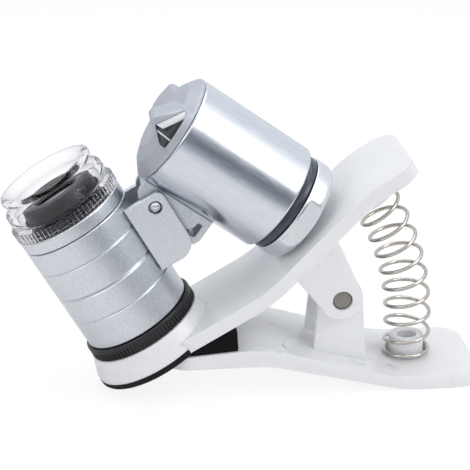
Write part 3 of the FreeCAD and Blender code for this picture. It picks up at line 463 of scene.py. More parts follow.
def bevel_rims(mesh: Mesh, width: float, angle: float, segments: int = 3) -> None:
    """Round every edge that turns by more than an angle.

    Args:
        mesh: Mesh to change.
        width: Width of the rounding in millimetres.
        angle: Smallest turn that counts, in degrees.
        segments: Steps across the rounding.
    """
    work = bmesh.new()
    work.from_mesh(mesh)
    limit = math.radians(angle)
    edges = [edge for edge in work.edges if len(edge.link_faces) == 2 and edge.calc_face_angle(0.0) > limit]
    bmesh.ops.bevel(work, geom=edges, offset=width, segments=segments, profile=0.5, affect="EDGES",
                    clamp_overlap=True)
    put_back(work, mesh)


def lathe(corners: Sequence[Corner], segments: int, step: float = CORNER_STEP) -> Mesh:
    """Turn a closed outline round the Z axis.

    Args:
        corners: Corners of the outline (radius, height), with a radius where one is rounded.
        segments: Steps round the axis.
        step: Degrees between two points of a rounded corner.

    Returns:
        The closed mesh.
    """
    outline = round_corners(corners, True, step)
    turns = [2 * math.pi * part / segments for part in range(segments)]
    verts = [(radius * math.cos(turn), radius * math.sin(turn), height)
             for turn in turns for radius, height in outline]
    count = len(outline)
    faces = []
    for part in range(segments):
        here, there = part * count, (part + 1) % segments * count
        for index in range(count):
            following = (index + 1) % count
            # A point on the axis is the same for every step, so its face has one corner less
            on_axis = outline[index][0] < 1e-9, outline[following][0] < 1e-9
            if all(on_axis):
                continue
            face = [here + index, here + following, there + following, there + index]
            if any(on_axis):
                face.pop(3 if on_axis[0] else 2)
            faces.append(face)
    return new_mesh(verts, faces)


def side_plates(corners: Sequence[Corner], inner: float, outer: float, edge: float,
                hole: Place | None = None, step: float = CORNER_STEP) -> list[Mesh]:
    """Make the two mirrored plates that an outline of the symmetry plane gives.

    Args:
        corners: Corners (x, z) of the outline, with a radius where one is rounded.
        inner: Distance of the inner faces from the symmetry plane.
        outer: Distance of the outer faces.
        edge: Radius of the rounded rims.
        hole: Place (x, z) and radius of a hole through both plates.
        step: Degrees between two points of a rounded corner.

    Returns:
        The plate on the near side and the one on the far side.
    """
    outline = round_corners(corners, True, step)
    count = len(outline)
    faces = [list(range(count)), list(range(count, 2 * count))]
    faces += [[index, (index + 1) % count, (index + 1) % count + count, index + count]
              for index in range(count)]
    plates = []
    for side in (-1, 1):
        verts = [(x, depth, z) for depth in sorted((side * inner, side * outer)) for x, z in outline]
        mesh = new_mesh(verts, faces)
        bevel_rims(mesh, edge, PLATE_RIM)
        plates.append(bored(mesh, hole[2], hole[:2]) if hole else mesh)
    return plates


def loft(rows: Sequence[Sequence[Place]]) -> Mesh:
    """Join rows of four places into a closed bar."""
    verts = [vert for row in rows for vert in row]
    end = len(verts) - 4
    faces = [[0, 1, 2, 3]]
    for here in range(0, end, 4):
        faces += [[here + side, here + (side + 1) % 4, here + (side + 1) % 4 + 4, here + side + 4]
                  for side in range(4)]
    return new_mesh(verts, faces + [[end + 3, end + 2, end + 1, end]])


def height_at(line: Sequence[Point], x: float) -> float:
    """Height of a polyline, whose points go by rising x, at a place along it."""
    for (x0, z0), (x1, z1) in zip(line, line[1:]):
        if x <= x1:
            return z0 + (z1 - z0) * (x - x0) / max(x1 - x0, 1e-9)
    return line[-1][1]


def round_plate(low: Sequence[Point], high: Sequence[Point], radius: float, side: int,
                depth: float = 0.9, steps: int = 40) -> Mesh:
    """Make a plate that follows a round wall about the Z axis.

    Args:
        low: Lower edge as points (x, z), by rising x.
        high: Upper edge, over the same x.
        radius: Radius of the outer face.
        side: -1 for the near wall, 1 for the far wall.
        depth: Thickness along Y.
        steps: Strips along X.

    Returns:
        The closed mesh.
    """
    first, last = low[0][0], low[-1][0]
    rows = []
    for index in range(steps + 1):
        x = first + (last - first) * index / steps
        outer = side * math.sqrt(radius * radius - x * x)
        inner = outer - side * depth
        bottom, top = height_at(low, x), height_at(high, x)
        rows.append(((x, outer, bottom), (x, outer, top), (x, inner, top), (x, inner, bottom)))
    return loft(rows)


def strip(top: Sequence[Point], bottom: Sequence[Point], half_width: float, start_corner: float,
          end_corner: float, edge: float, steps: int = 70) -> Mesh:
    """Make a bent strip with rounded ends in plan and rounded long edges.

    Args:
        top: Upper line (x, z), rising x.
        bottom: Lower line (x, z), rising x.
        half_width: Half of the strip's width.
        start_corner: Corner radius in plan at the first end.
        end_corner: Corner radius in plan at the last end.
        edge: Radius of the rounded edges.
        steps: Rows between the two rounded ends.

    Returns:
        The closed mesh.
    """
    first, last = max(top[0][0], bottom[0][0]), min(top[-1][0], bottom[-1][0])
    start, end = first + start_corner, last - end_corner
    arc = [math.radians(angle) for angle in range(0, 91, 10)]
    stations = [first + start_corner * (1 - math.sin(angle)) for angle in reversed(arc)]
    stations += [start + (end - start) * part / steps for part in range(1, steps)]
    stations += [last - end_corner * (1 - math.sin(angle)) for angle in arc]
    rows = []
    for x in stations:
        width = half_width
        if x < start:
            width -= start_corner - math.sqrt(max(0.0, start_corner ** 2 - (start - x) ** 2))
        elif x > end:
            width -= end_corner - math.sqrt(max(0.0, end_corner ** 2 - (x - end) ** 2))
        up, down = height_at(top, x), height_at(bottom, x)
        rows.append(((x, -width, down), (x, width, down), (x, width, up), (x, -width, up)))
    mesh = loft(rows)
    bevel_rims(mesh, edge, STRIP_RIM, 4)
    return mesh


def bored(mesh: Mesh, radius: float, place: Point, upright: bool = False) -> Mesh:
    """Cut a round hole through a mesh.

    Args:
        mesh: Mesh to cut.
        radius: Radius of the hole in millimetres.
        place: Hole's place (x, z), or (x, y) where it stands upright.
        upright: Whether the hole runs along Z in place of Y.

    Returns:
        The cut mesh.
    """
    reach = 30.0
    drill = lathe(((0, -reach), (radius, -reach), (radius, reach), (0, reach)), MIDDLE)
    if upright:
        drill.transform(Matrix.Translation((*place, 0)))
    else:
        drill.transform(Matrix.Translation((place[0], 0, place[1])) @ ACROSS)
    cutter, plate = linked("drill", drill), linked("plate", mesh)
    cut = plate.modifiers.new("Cut", "BOOLEAN")
    cut.object = cutter
    cut.operation = "DIFFERENCE"
    cut.solver = "EXACT"
    result = applied(plate)
    bpy.data.objects.remove(cutter)
    result.shade_smooth()
    return result


def new_tree(name: str, numbers: Sequence[str], counts: Sequence[str] = (),
             path: bool = False) -> tuple[Tree, Node]:
    """Make a geometry tree with named inputs and one geometry output.

    Args:
        name: Name of the tree.
        numbers: Names of its decimal inputs.
        counts: Names of its whole-number inputs.
        path: Whether it starts from a curve.

    Returns:
        The tree and its input node.
    """
    tree = bpy.data.node_groups.new(name, "GeometryNodeTree")
    sockets = [("Path", "Geometry")] if path else []
    sockets += [(label, "Int") for label in counts] + [(label, "Float") for label in numbers]
    for label, kind in sockets + [("Material", "Material")]:
        tree.interface.new_socket(name=label, in_out="INPUT", socket_type="NodeSocket" + kind)
    tree.interface.new_socket(name="Geometry", in_out="OUTPUT", socket_type="NodeSocketGeometry")
    return tree, add_node(tree, "NodeGroupInput")


def finish_tree(tree: Tree, source: Node, geometry: Node) -> Tree:
    """End a tree in real geometry with its material, and return it."""
    real = add_node(tree, "GeometryNodeRealizeInstances", {"Geometry": geometry})
    dressed = add_node(tree, "GeometryNodeSetMaterial", {"Geometry": real,
                                                         "Material": source.outputs["Material"]})
    add_node(tree, "NodeGroupOutput", {"Geometry": dressed})
    return tree


def rib_ring_tree() -> Tree:
    """Return a tree that stands slim ribs evenly round a circle."""
    tree, source = new_tree("ribs_round_a_ring", ("Ring radius", "Rib radius", "Rib height", "Base height"),
                            ("Count",))
    given = source.outputs
    ring = add_node(tree, "GeometryNodeMeshCircle", {"Vertices": given["Count"],
                                                     "Radius": given["Ring radius"]})
    rib = add_node(tree, "GeometryNodeMeshCylinder", {"Vertices": 8, "Radius": given["Rib radius"],
                                                      "Depth": given["Rib height"]})
    half = add_node(tree, "ShaderNodeMath", {0: given["Rib height"], 1: 0.5}, operation="MULTIPLY")
    middle = add_node(tree, "ShaderNodeMath", {0: given["Base height"], 1: half}, operation="ADD")
    lift = add_node(tree, "ShaderNodeCombineXYZ", {"Z": middle})
    raised = add_node(tree, "GeometryNodeSetPosition", {"Geometry": ring, "Offset": lift})
    copies = add_node(tree, "GeometryNodeInstanceOnPoints", {"Points": raised, "Instance": rib})
    return finish_tree(tree, source, copies)


def wire_round(tree: Tree, path: Source, radius: Source, sides: Source | int, caps: bool) -> Node:
    """Draw a round wire of a radius and a number of sides along a path, with or without end caps."""
    section = add_node(tree, "GeometryNodeCurvePrimitiveCircle", {"Resolution": sides, "Radius": radius})
    return add_node(tree, "GeometryNodeCurveToMesh", {"Curve": path, "Profile Curve": section,
                                                      "Fill Caps": caps})


def stacked_ring_tree() -> Tree:
    """Return a tree that stacks round ridges along Z, as on a thread."""
    tree, source = new_tree("ridges_along_a_tube", ("Ring radius", "Ridge radius", "Pitch", "Base height"),
                            ("Count",))
    given = source.outputs
    step = add_node(tree, "ShaderNodeCombineXYZ", {"Z": given["Pitch"]})
    start = add_node(tree, "ShaderNodeCombineXYZ", {"Z": given["Base height"]})
    line = add_node(tree, "GeometryNodeMeshLine", {"Count": given["Count"], "Start Location": start,
                                                   "Offset": step})
    ring = add_node(tree, "GeometryNodeCurvePrimitiveCircle", {"Resolution": MIDDLE,
                                                               "Radius": given["Ring radius"]})
    ridge = wire_round(tree, ring, given["Ridge radius"], 8, False)
    copies = add_node(tree, "GeometryNodeInstanceOnPoints", {"Points": line, "Instance": ridge})
    return finish_tree(tree, source, copies)


def wire_tree() -> Tree:
    """Return a tree that draws a round wire along a curve."""
    tree, source = new_tree("wire_along_a_path", ("Wire radius",), ("Sides",), True)
    given = source.outputs
    wire = wire_round(tree, given["Path"], given["Wire radius"], given["Sides"], True)
    return finish_tree(tree, source, wire)


@dataclass
class Part:
    """A group of pieces, with the finishes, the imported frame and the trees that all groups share."""

    finish: Finish
    frame: dict[str, Any]
    trees: dict[str, Tree]

    def place(self, name: str, mesh: Mesh, axes: TurnedFrame | None, finish: str, body: Body, slot: str,
              *nodes: str, weighted: bool = True) -> None:
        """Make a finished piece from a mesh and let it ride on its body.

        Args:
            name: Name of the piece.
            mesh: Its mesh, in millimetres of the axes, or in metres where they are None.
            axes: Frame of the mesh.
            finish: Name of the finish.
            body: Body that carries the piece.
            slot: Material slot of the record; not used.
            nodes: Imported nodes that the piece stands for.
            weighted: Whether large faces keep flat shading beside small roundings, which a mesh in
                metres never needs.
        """
        if axes is not None:
            mesh.transform(axes.matrix())
        piece = linked(name, mesh)
        mesh.name = name
        mesh.materials.clear()
        mesh.materials.append(self.finish[finish])
        if weighted and axes is not None:
            piece.modifiers.new("Face weights", "WEIGHTED_NORMAL").keep_sharp = True
        if nodes:
            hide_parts(*nodes)
        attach(piece, body.value)
        log.info("%s: %d faces on %s", name, len(mesh.polygons), body.value)

    def softened(self, node: str, voxel_mm: float, smoothing: int) -> Mesh:
        """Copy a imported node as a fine, evenly rounded mesh.

        Args:
            node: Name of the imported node.
            voxel_mm: Size of the new faces in millimetres.
            smoothing: Passes that round the edges.

        Returns:
            The mesh, in metres.
        """
        mesh = self.frame["nodes"][node].data.copy()
        work = bmesh.new()
        work.from_mesh(mesh)
        bmesh.ops.remove_doubles(work, verts=work.verts, dist=1e-7)
        bmesh.ops.scale(work, vec=(1 / MM, 1 / MM, 1 / MM), verts=work.verts)
        copy = linked(node + "_soft", put_back(work, mesh))
        remesh = copy.modifiers.new("Voxels", "REMESH")
        remesh.mode = "VOXEL"
        remesh.voxel_size = voxel_mm
        remesh.use_smooth_shade = True
        smooth = copy.modifiers.new("Smooth", "SMOOTH")
        smooth.factor = 0.5
        smooth.iterations = smoothing
        result = applied(copy)
        result.transform(Matrix.Scale(MM, 4))
        result.shade_smooth()
        return result

    def grown(self, tree: str, finish: str, values: dict[str, float],
              curve: bpy.types.Curve | None = None) -> Mesh:
        """Let a geometry tree grow a mesh.

        Args:
            tree: Name of the tree.
            finish: Name of the finish that the mesh wears.
            values: Input name to value.
            curve: Curve that the tree starts from, if any.

        Returns:
            The mesh, in millimetres.
        """
        group = self.trees[tree]
        carrier = linked(group.name, curve or bpy.data.meshes.new(group.name))
        modifier = carrier.modifiers.new("Repeat", "NODES")
        modifier.node_group = group
        given = {**values, "Material": self.finish[finish]}
        for item in group.interface.items_tree:
            if item.in_out == "INPUT" and item.name in given:
                modifier[item.identifier] = given[item.name]
        return applied(carrier)

    def dress(self, node: str, finish: str) -> None:
        """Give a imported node, which keeps its shape, a finish."""
        data = self.frame["nodes"][node].data
        data.materials.clear()
        data.materials.append(self.finish[finish])
        log.info("%s keeps its packed shape", node)


@dataclass
class Clip(Part):
    """The white spring clip: two arms, pin, spring and pads."""

    # Both arms: width, corners in plan, wide bends and rounded long edges
    half_width: float = 9.6
    corner: float = 4.0
    bend: float = 24.0
    edge: float = 0.7
    # The lower arm's lines as (x, z, bend), and its shallow round marks
    lower_top: tuple[Corner, ...] = ((-29.2, 5.95), (-26.5, 7.62, 1.2), (-13.2, 8.6, 24), (8.3, 2.4, 24),
                                     (23.3, 2.4))
    lower_bottom: tuple[Corner, ...] = ((-29.2, 5.5), (-12.2, 5.5, 24), (10.3, 0, 24), (23.3, 0))
    marks: tuple[Point, ...] = ((-8.6, 7.48), (3.0, 4.15), (8.6, 2.62))
    mark_side: float = -6.2
    mark_lean: float = 15.0
    # The upper arm, flat from the nearly square jaw to the knee, then sloped up to the heel
    thickness: float = 2.35
    jaw: float = 2.0
    jaw_corner: float = 0.1
    knee: float = 20.8
    heel: float = 43.1
    tail: float = 51.3
    slope: float = 15.9
    # The eyepiece boss under the arm's hole
    boss_radius: float = 11.0
    boss_top: float = 9.9
    boss_height: float = 4.6
    bore: float = 7.15
    seat: float = 9.2
    pin_radius: float = 1.6
    pin_end: float = 6.2
    # The spring between both arms, from foot to head, and the tubes that hold its ends
    spring_foot: float = 12.3
    spring_head: float = 43.1
    spring_radius: float = 3.7
    spring_wire: float = 0.32
    spring_turns: float = 11.0
    spring_bend: float = 40.0
    spring_points: int = 28
    tube_radius: float = 2.9
    tube_bore: float = 1.6
    tube_height: float = 3.5
    tube_root: float = 1.2

    def build(self) -> None:
        """Make every piece of the clip."""
        self.place("lower_arm", self.lower_arm(), TABLE, "white_abs", Body.LOWER_CLIP, "white_plastic",
                   "clip_lower_arm")
        self.place("upper_arm", self.upper_arm(), SCOPE, "white_abs", Body.SCOPE, "white_plastic",
                   "clip_upper_arm")
        self.place("pivot_pin", self.pin(), PIVOT, "turned_steel_pin", Body.LOWER_CLIP, "pin_steel",
                   "clip_pivot_pin")
        self.spring()
        self.pads()

    def rise(self) -> float:
        """Height that the upper arm gains along its slope."""
        return math.tan(math.radians(self.slope)) * (self.heel - self.knee)

    def lower_arm(self) -> Mesh:
        """Return the lower arm with its ears, spring tube and ejector marks."""
        top, bottom = (round_corners(line, False, BEND_STEP)
                       for line in (self.lower_top, self.lower_bottom))
        parts = [strip(top, bottom, self.half_width, self.corner, self.corner, self.edge)]
        head = PIVOT_HEIGHT + 3.4
        parts += side_plates(((-4.5, 5.0), (4.6, 2.0), (3.35, head, 3.3), (-3.35, head, 3.3)),
                             3.8, 5.0, 0.25)
        parts.append(self.tube(self.spring_foot, self.tube_root, False))
        # Three shallow round marks give the bare slope its scale
        for along, height in self.marks:
            mark = lathe(((0, -0.4), (1.15, -0.4), (1.15, 0.03, 0.02), (0, 0.03)), 48)
            mark.transform(Matrix.Translation((along, self.mark_side, height))
                           @ Matrix.Rotation(math.radians(self.mark_lean), 4, "Y"))
            parts.append(mark)
        return join_meshes(parts)

    def tube(self, along: float, base: float, hanging: bool) -> Mesh:
        """Return a spring tube.

        Args:
            along: Place along the arm.
            base: Height at which the tube starts.
            hanging: Whether it hangs down from there, in place of standing up.

        Returns:
            The tube's mesh.
        """
        bore, radius, height = self.tube_bore, self.tube_radius, self.tube_height + self.tube_root
        mesh = lathe(((bore, 0), (radius, 0), (radius, height, 0.3), (bore, height, 0.3)),
                     SMALL)
        flip = Matrix.Rotation(math.pi if hanging else 0, 4, "X")
        mesh.transform(Matrix.Translation((along, 0, base)) @ flip)
        return mesh

    def upper_arm(self) -> Mesh:
        """Return the upper arm with its eyepiece boss, lugs and spring tube."""
        rise = self.rise()
        bottom, top = (round_corners(((self.jaw, face), (self.knee, face, self.bend),
                                      (self.heel, rise + face, self.bend), (self.tail, rise + face)),
                                     False, BEND_STEP) for face in (0.0, self.thickness))
        arm = strip(top, bottom, self.half_width, self.jaw_corner, self.corner, self.edge)
        parts = [bored(arm, self.seat, (0.0, 0.0), True)]
        radius, high, rim, shelf = self.boss_radius, self.boss_height, 8.3, 2.0
        parts.append(lathe(((self.bore, 0, 0.15), (radius, 0, 1.0), (radius, 1.3, 1.5),
                            (self.boss_top, high, 0.3), (rim, high, 0.1), (rim, shelf),
                            (self.bore, shelf)), LARGE, 10.0))
        along, below = PIVOT_ALONG, -PIVOT_BELOW
        parts += side_plates(((along - 4.85, 1.9), (along - 3.15, below - 3.2, 3.1),
                              (along + 3.15, below - 3.2, 3.1), (along + 4.5, 4.6)),
                             5.2, 6.5, 0.3, (along, below, self.pin_radius + 0.05))
        parts.append(self.tube(self.spring_head, rise + self.tube_root, True))
        return join_meshes(parts)

    def pin(self) -> Mesh:
        """Return the pivot pin with slightly domed, chamfered ends."""
        radius, end = self.pin_radius, self.pin_end
        mesh = lathe(((0, -end), (radius, -end + 0.06, 0.3), (radius, end - 0.06, 0.3),
                      (0, end)), SMALL)
        mesh.transform(ACROSS)
        return mesh

    def coil_point(self, share: float) -> Place:
        """Return the wire's centre at a share of the spring, in the table frame."""
        tilt = math.radians(TILT)
        start = self.lower_top[-1][1] + self.spring_wire
        head = SCOPE.child(self.spring_head, self.rise() - self.spring_wire)
        top_x, top_z = head.x - PIVOT_X, head.z
        # The axis stands square to the lower arm, bends by the tilt and meets the upper arm square
        corner = top_z - (self.spring_foot - top_x) / math.tan(tilt)
        tangent = self.spring_bend * math.tan(tilt / 2)
        lower = corner - tangent - start
        arc = self.spring_bend * tilt
        whole = lower + arc + math.hypot(self.spring_foot - top_x, top_z - corner) - tangent
        # The first and the last turn lie closed: each climbs by no more than the wire's thickness
        turn = self.spring_turns * share
        flat = 2 * self.spring_wire / whole
        if turn < 1:
            climbed = flat * turn
        elif turn > self.spring_turns - 1:
            climbed = 1 - flat * (self.spring_turns - turn)
        else:
            climbed = flat + (1 - 2 * flat) * (turn - 1) / (self.spring_turns - 2)
        run = climbed * whole
        lean = min(max((run - lower) / self.spring_bend, 0.0), tilt)
        rest = max(run - lower - arc, 0.0)
        x = self.spring_foot - self.spring_bend * (1 - math.cos(lean)) - rest * math.sin(tilt)
        z = start + min(run, lower) + self.spring_bend * math.sin(lean) + rest * math.cos(tilt)
        angle = 2 * math.pi * turn
        outward = self.spring_radius * math.cos(angle)
        return (x + outward * math.cos(lean), self.spring_radius * math.sin(angle),
                z + outward * math.sin(lean))

    def spring(self) -> None:
        """Make the return spring as a wire coiled round its bent axis between both arms."""
        count = int(self.spring_turns * self.spring_points)
        curve = bpy.data.curves.new("spring_path", "CURVE")
        curve.dimensions = "3D"
        line = curve.splines.new("POLY")
        line.points.add(count)
        for index, point in enumerate(line.points):
            point.co = (*self.coil_point(index / count), 1.0)
        mesh = self.grown("wire", "nickel_spring_wire", {"Wire radius": self.spring_wire, "Sides": 12},
                          curve)
        mesh.shade_smooth()
        mesh.transform(TABLE.matrix())
        piece = linked("return_spring", mesh)
        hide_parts("clip_spring")
        head = SCOPE.child(self.spring_head, self.rise() - 1.0)
        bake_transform(piece)

    def pads(self) -> None:
        """Make the black jaw wedge, the telephone pad and its thin lip round the boss."""
        self.place("jaw_wedge", self.softened("jaw_pad", 0.16, 8), None, "foam_rubber", Body.LOWER_CLIP,
                   "black_foam", "jaw_pad")
        self.place("telephone_pad", self.softened("phone_pad", 0.12, 6), None, "smooth_black_rubber",
                   Body.SCOPE, "black_foam", "phone_pad")
        lip = lathe(((10.3, -0.4), (10.8, -0.36, 0.3), (11.05, 0.0, 0.3), (11.05, 0.75, 0.1),
                     (10.3, 0.85)), 160)
        self.place("pad_lip", lip, SCOPE, "smooth_black_rubber", Body.SCOPE, "black_foam")


@dataclass
class Microscope(Part):
    """The barrel with its focus wheel, hinge ears, clear cup and lenses."""

    radius: float = 9.2
    foot: float = 6.9
    length: float = 19.0
    collar: float = 2.25
    bore: float = 6.9
    # Turned lines: drop below the barrel's end, and half width
    lines: tuple[Point, ...] = ((4.05, 0.17), (9.2, 0.3), (13.65, 0.17))
    wheel_radius: float = 9.77
    wheel_low: float = 4.7
    wheel_height: float = 2.1
    wheel_ribs: int = 96
    # The clear cup's section: flange, waist, swell and rim, then down its inner wall
    cup: tuple[Corner, ...] = ((6.95, 0, 0.1), (9.1, 0, 0.25), (9.1, 1.95, 0.35), (8.45, 2.45, 0.3),
                               (8.85, 3.0, 0.4), (8.75, 4.35, 0.6), (7.5, 5.45, 0.9), (8.12, 6.3, 0.5),
                               (8.12, 7.15, 0.4), (6.95, 7.15, 0.45), (6.5, 5.9, 1.2), (6.45, 5.3, 1.0),
                               (7.6, 3.9, 1.0), (7.6, 2.4, 0.5), (6.95, 1.3, 0.1))
    cup_ribs: int = 72
    nose_foot: float = 4.25
    nose_height: float = 3.95
    lens_radius: float = 4.88

    def build(self) -> None:
        """Make every piece of the microscope."""
        top = self.foot + self.length
        self.place("barrel", self.barrel(), SCOPE.child(0, self.foot), "satin_silver_barrel", Body.SCOPE,
                   "satin_silver", "barrel_shell")
        self.place("collar", self.collar_ring(), SCOPE.child(0, top), "satin_silver_barrel", Body.SCOPE,
                   "satin_silver", "barrel_collar")
        self.wheel()
        self.clear_cup(SCOPE.child(0, top + self.collar))
        self.nose(top)
        self.lenses(top + self.collar + self.nose_height)
        self.place("rivet", self.rivet(), RIVET, "bright_plated_cap", Body.SCOPE, "pin_steel", "hinge_rivet")

    def barrel(self) -> Mesh:
        """Return the barrel with its turned lines and hinge ears."""
        radius, length = self.radius, self.length
        corners: list[Corner] = [(8.3, 0), (radius, 0, 0.2)]
        for drop, depth in reversed(self.lines):
            height = length - drop
            corners += [(radius, height - depth, 0.03), (radius - depth * 1.4, height, 0.02),
                        (radius, height + depth, 0.03)]
        corners += [(radius, length, 0.2), (self.bore, length), (self.bore, length - 2),
                    (7.4, length - 2), (7.4, 2), (8.3, 2)]
        ears = side_plates(((8.2, length - 13.0), (14.9, length - 13.0, 3.0),
                            (14.9, length - 1.2, 1.2), (8.2, length - 1.2)),
                           3.8, 5.0, 0.16, (12.7, length - 3.3, 1.15), 8.0)
        return join_meshes([lathe(corners, LARGE, 30.0)] + ears)

    def collar_ring(self) -> Mesh:
        """Return the collar, necked below to leave the dark joint line."""
        radius, bore, neck = self.radius, self.bore, self.radius - 0.35
        return lathe(((bore, 0), (neck, 0), (neck, 0.22), (radius, 0.22, 0.12),
                      (radius, self.collar, 0.25), (bore, self.collar)), LARGE, 30.0)

    def wheel(self) -> None:
        """Make the black focus wheel: smooth above, finely ribbed below."""
        radius, high, bore = self.wheel_radius, self.wheel_height, 8.45
        step = high * 0.64
        disc = lathe(((bore, 0), (radius - 0.25, 0, 0.1), (radius - 0.25, step, 0.05),
                      (radius - 0.02, step, 0.1), (radius - 0.02, high, 0.25), (bore, high)), LARGE)
        ribs = self.grown("ribs", "black_abs_wheel", {
            "Count": self.wheel_ribs, "Ring radius": radius - 0.2, "Rib radius": 0.19, "Rib height": step,
            "Base height": 0.02})
        self.place("focus_wheel", join_meshes((disc, ribs)), SCOPE.child(0, self.wheel_low),
                   "black_abs_wheel", Body.FOCUS, "black_plastic", "focus_ring")

    def clear_cup(self, seat: TurnedFrame) -> None:
        """Make the clear cup and the grip ribs round its flange, from the frame of its seat."""
        self.place("specimen_cup", lathe(self.cup, LARGE), seat, "clear_polycarbonate", Body.SCOPE,
                   "clear_plastic", "clear_cup", weighted=False)
        ribs = self.grown("ribs", "clear_polycarbonate", {
            "Count": self.cup_ribs, "Ring radius": 9.12, "Rib radius": 0.2, "Rib height": 1.7,
            "Base height": 0.12})
        self.place("cup_grip", ribs, seat, "clear_polycarbonate", Body.SCOPE, "clear_plastic",
                   weighted=False)

    def nose(self, top: float) -> None:
        """Make the black nose tube with its thread and the lens retainer.

        Args:
            top: Height of the barrel's upper end.
        """
        foot, hollow, glass = self.nose_foot, 4.2, 4.9
        height = foot + self.nose_height
        tube = lathe(((hollow, 0), (6.85, 0), (6.85, foot + 0.6, 0.1), (6.55, foot + 0.9, 0.1),
                      (6.2, height - 0.7, 0.4), (6.0, height, 0.3), (glass, height, 0.1),
                      (glass, height - 2), (hollow, height - 2)), 144)
        ridges = self.grown("ridges", "black_anodised_tube", {
            "Count": 5, "Ring radius": 6.72, "Ridge radius": 0.14, "Pitch": 0.38, "Base height": foot + 0.15})
        self.place("objective_tube", join_meshes((tube, ridges)), SCOPE.child(0, top - 2.0),
                   "black_anodised_tube", Body.SCOPE, "black_plastic", "nose_tube")
        ring = lathe(((3.6, 0, 0.1), (self.lens_radius, 0), (self.lens_radius, 0.7, 0.1),
                      (3.9, 0.7, 0.1)), MIDDLE)
        self.place("objective_ring", ring, SCOPE.child(0, top + self.collar + self.nose_height - 0.7),
                   "black_anodised_tube", Body.SCOPE, "black_plastic", "lens_retainer")

    def lenses(self, top: float) -> None:
        """Make the two lenses and dress the parts inside the barrel.

        Args:
            top: Height of the nose tube's upper end.
        """
        for name, (radius, thickness, sag), height, body, node in (
                ("objective_glass", (self.lens_radius, 1.3, 0.4), top - 2.0, Body.SCOPE, "objective_lens"),
                ("eyepiece_glass", (6.08, 2.2, 0.7), 3.7, Body.EYEPIECE, "eyepiece_lens")):
            glass = lathe(self.lens_outline(radius, thickness, sag), MIDDLE)
            self.place(name, glass, SCOPE.child(0, height), "optical_glass", body, "lens_glass", node,
                       weighted=False)
        for node in ("ring_adapter", "lens_tube"):
            self.dress(node, "black_anodised_tube")

    @staticmethod
    def lens_outline(radius: float, thickness: float, sag: float, steps: int = 12) -> list[Corner]:
        """Return a biconvex section from the axis round the rim and back, each face as deep as its sag."""
        lower = [(radius * part / steps, sag * (part / steps) ** 2) for part in range(steps + 1)]
        return lower + [(across, thickness - height) for across, height in reversed(lower)]

    @staticmethod
    def rivet() -> Mesh:
        """Return the rivet with its domed bright heads."""
        mesh = lathe(((0, -4.84), (0.5, -4.8, 1.2), (0.86, -4.4, 0.3), (0.86, 4.4, 0.3),
                      (0.5, 4.8, 1.2), (0, 4.84)), 48)
        mesh.transform(ACROSS)
        return mesh


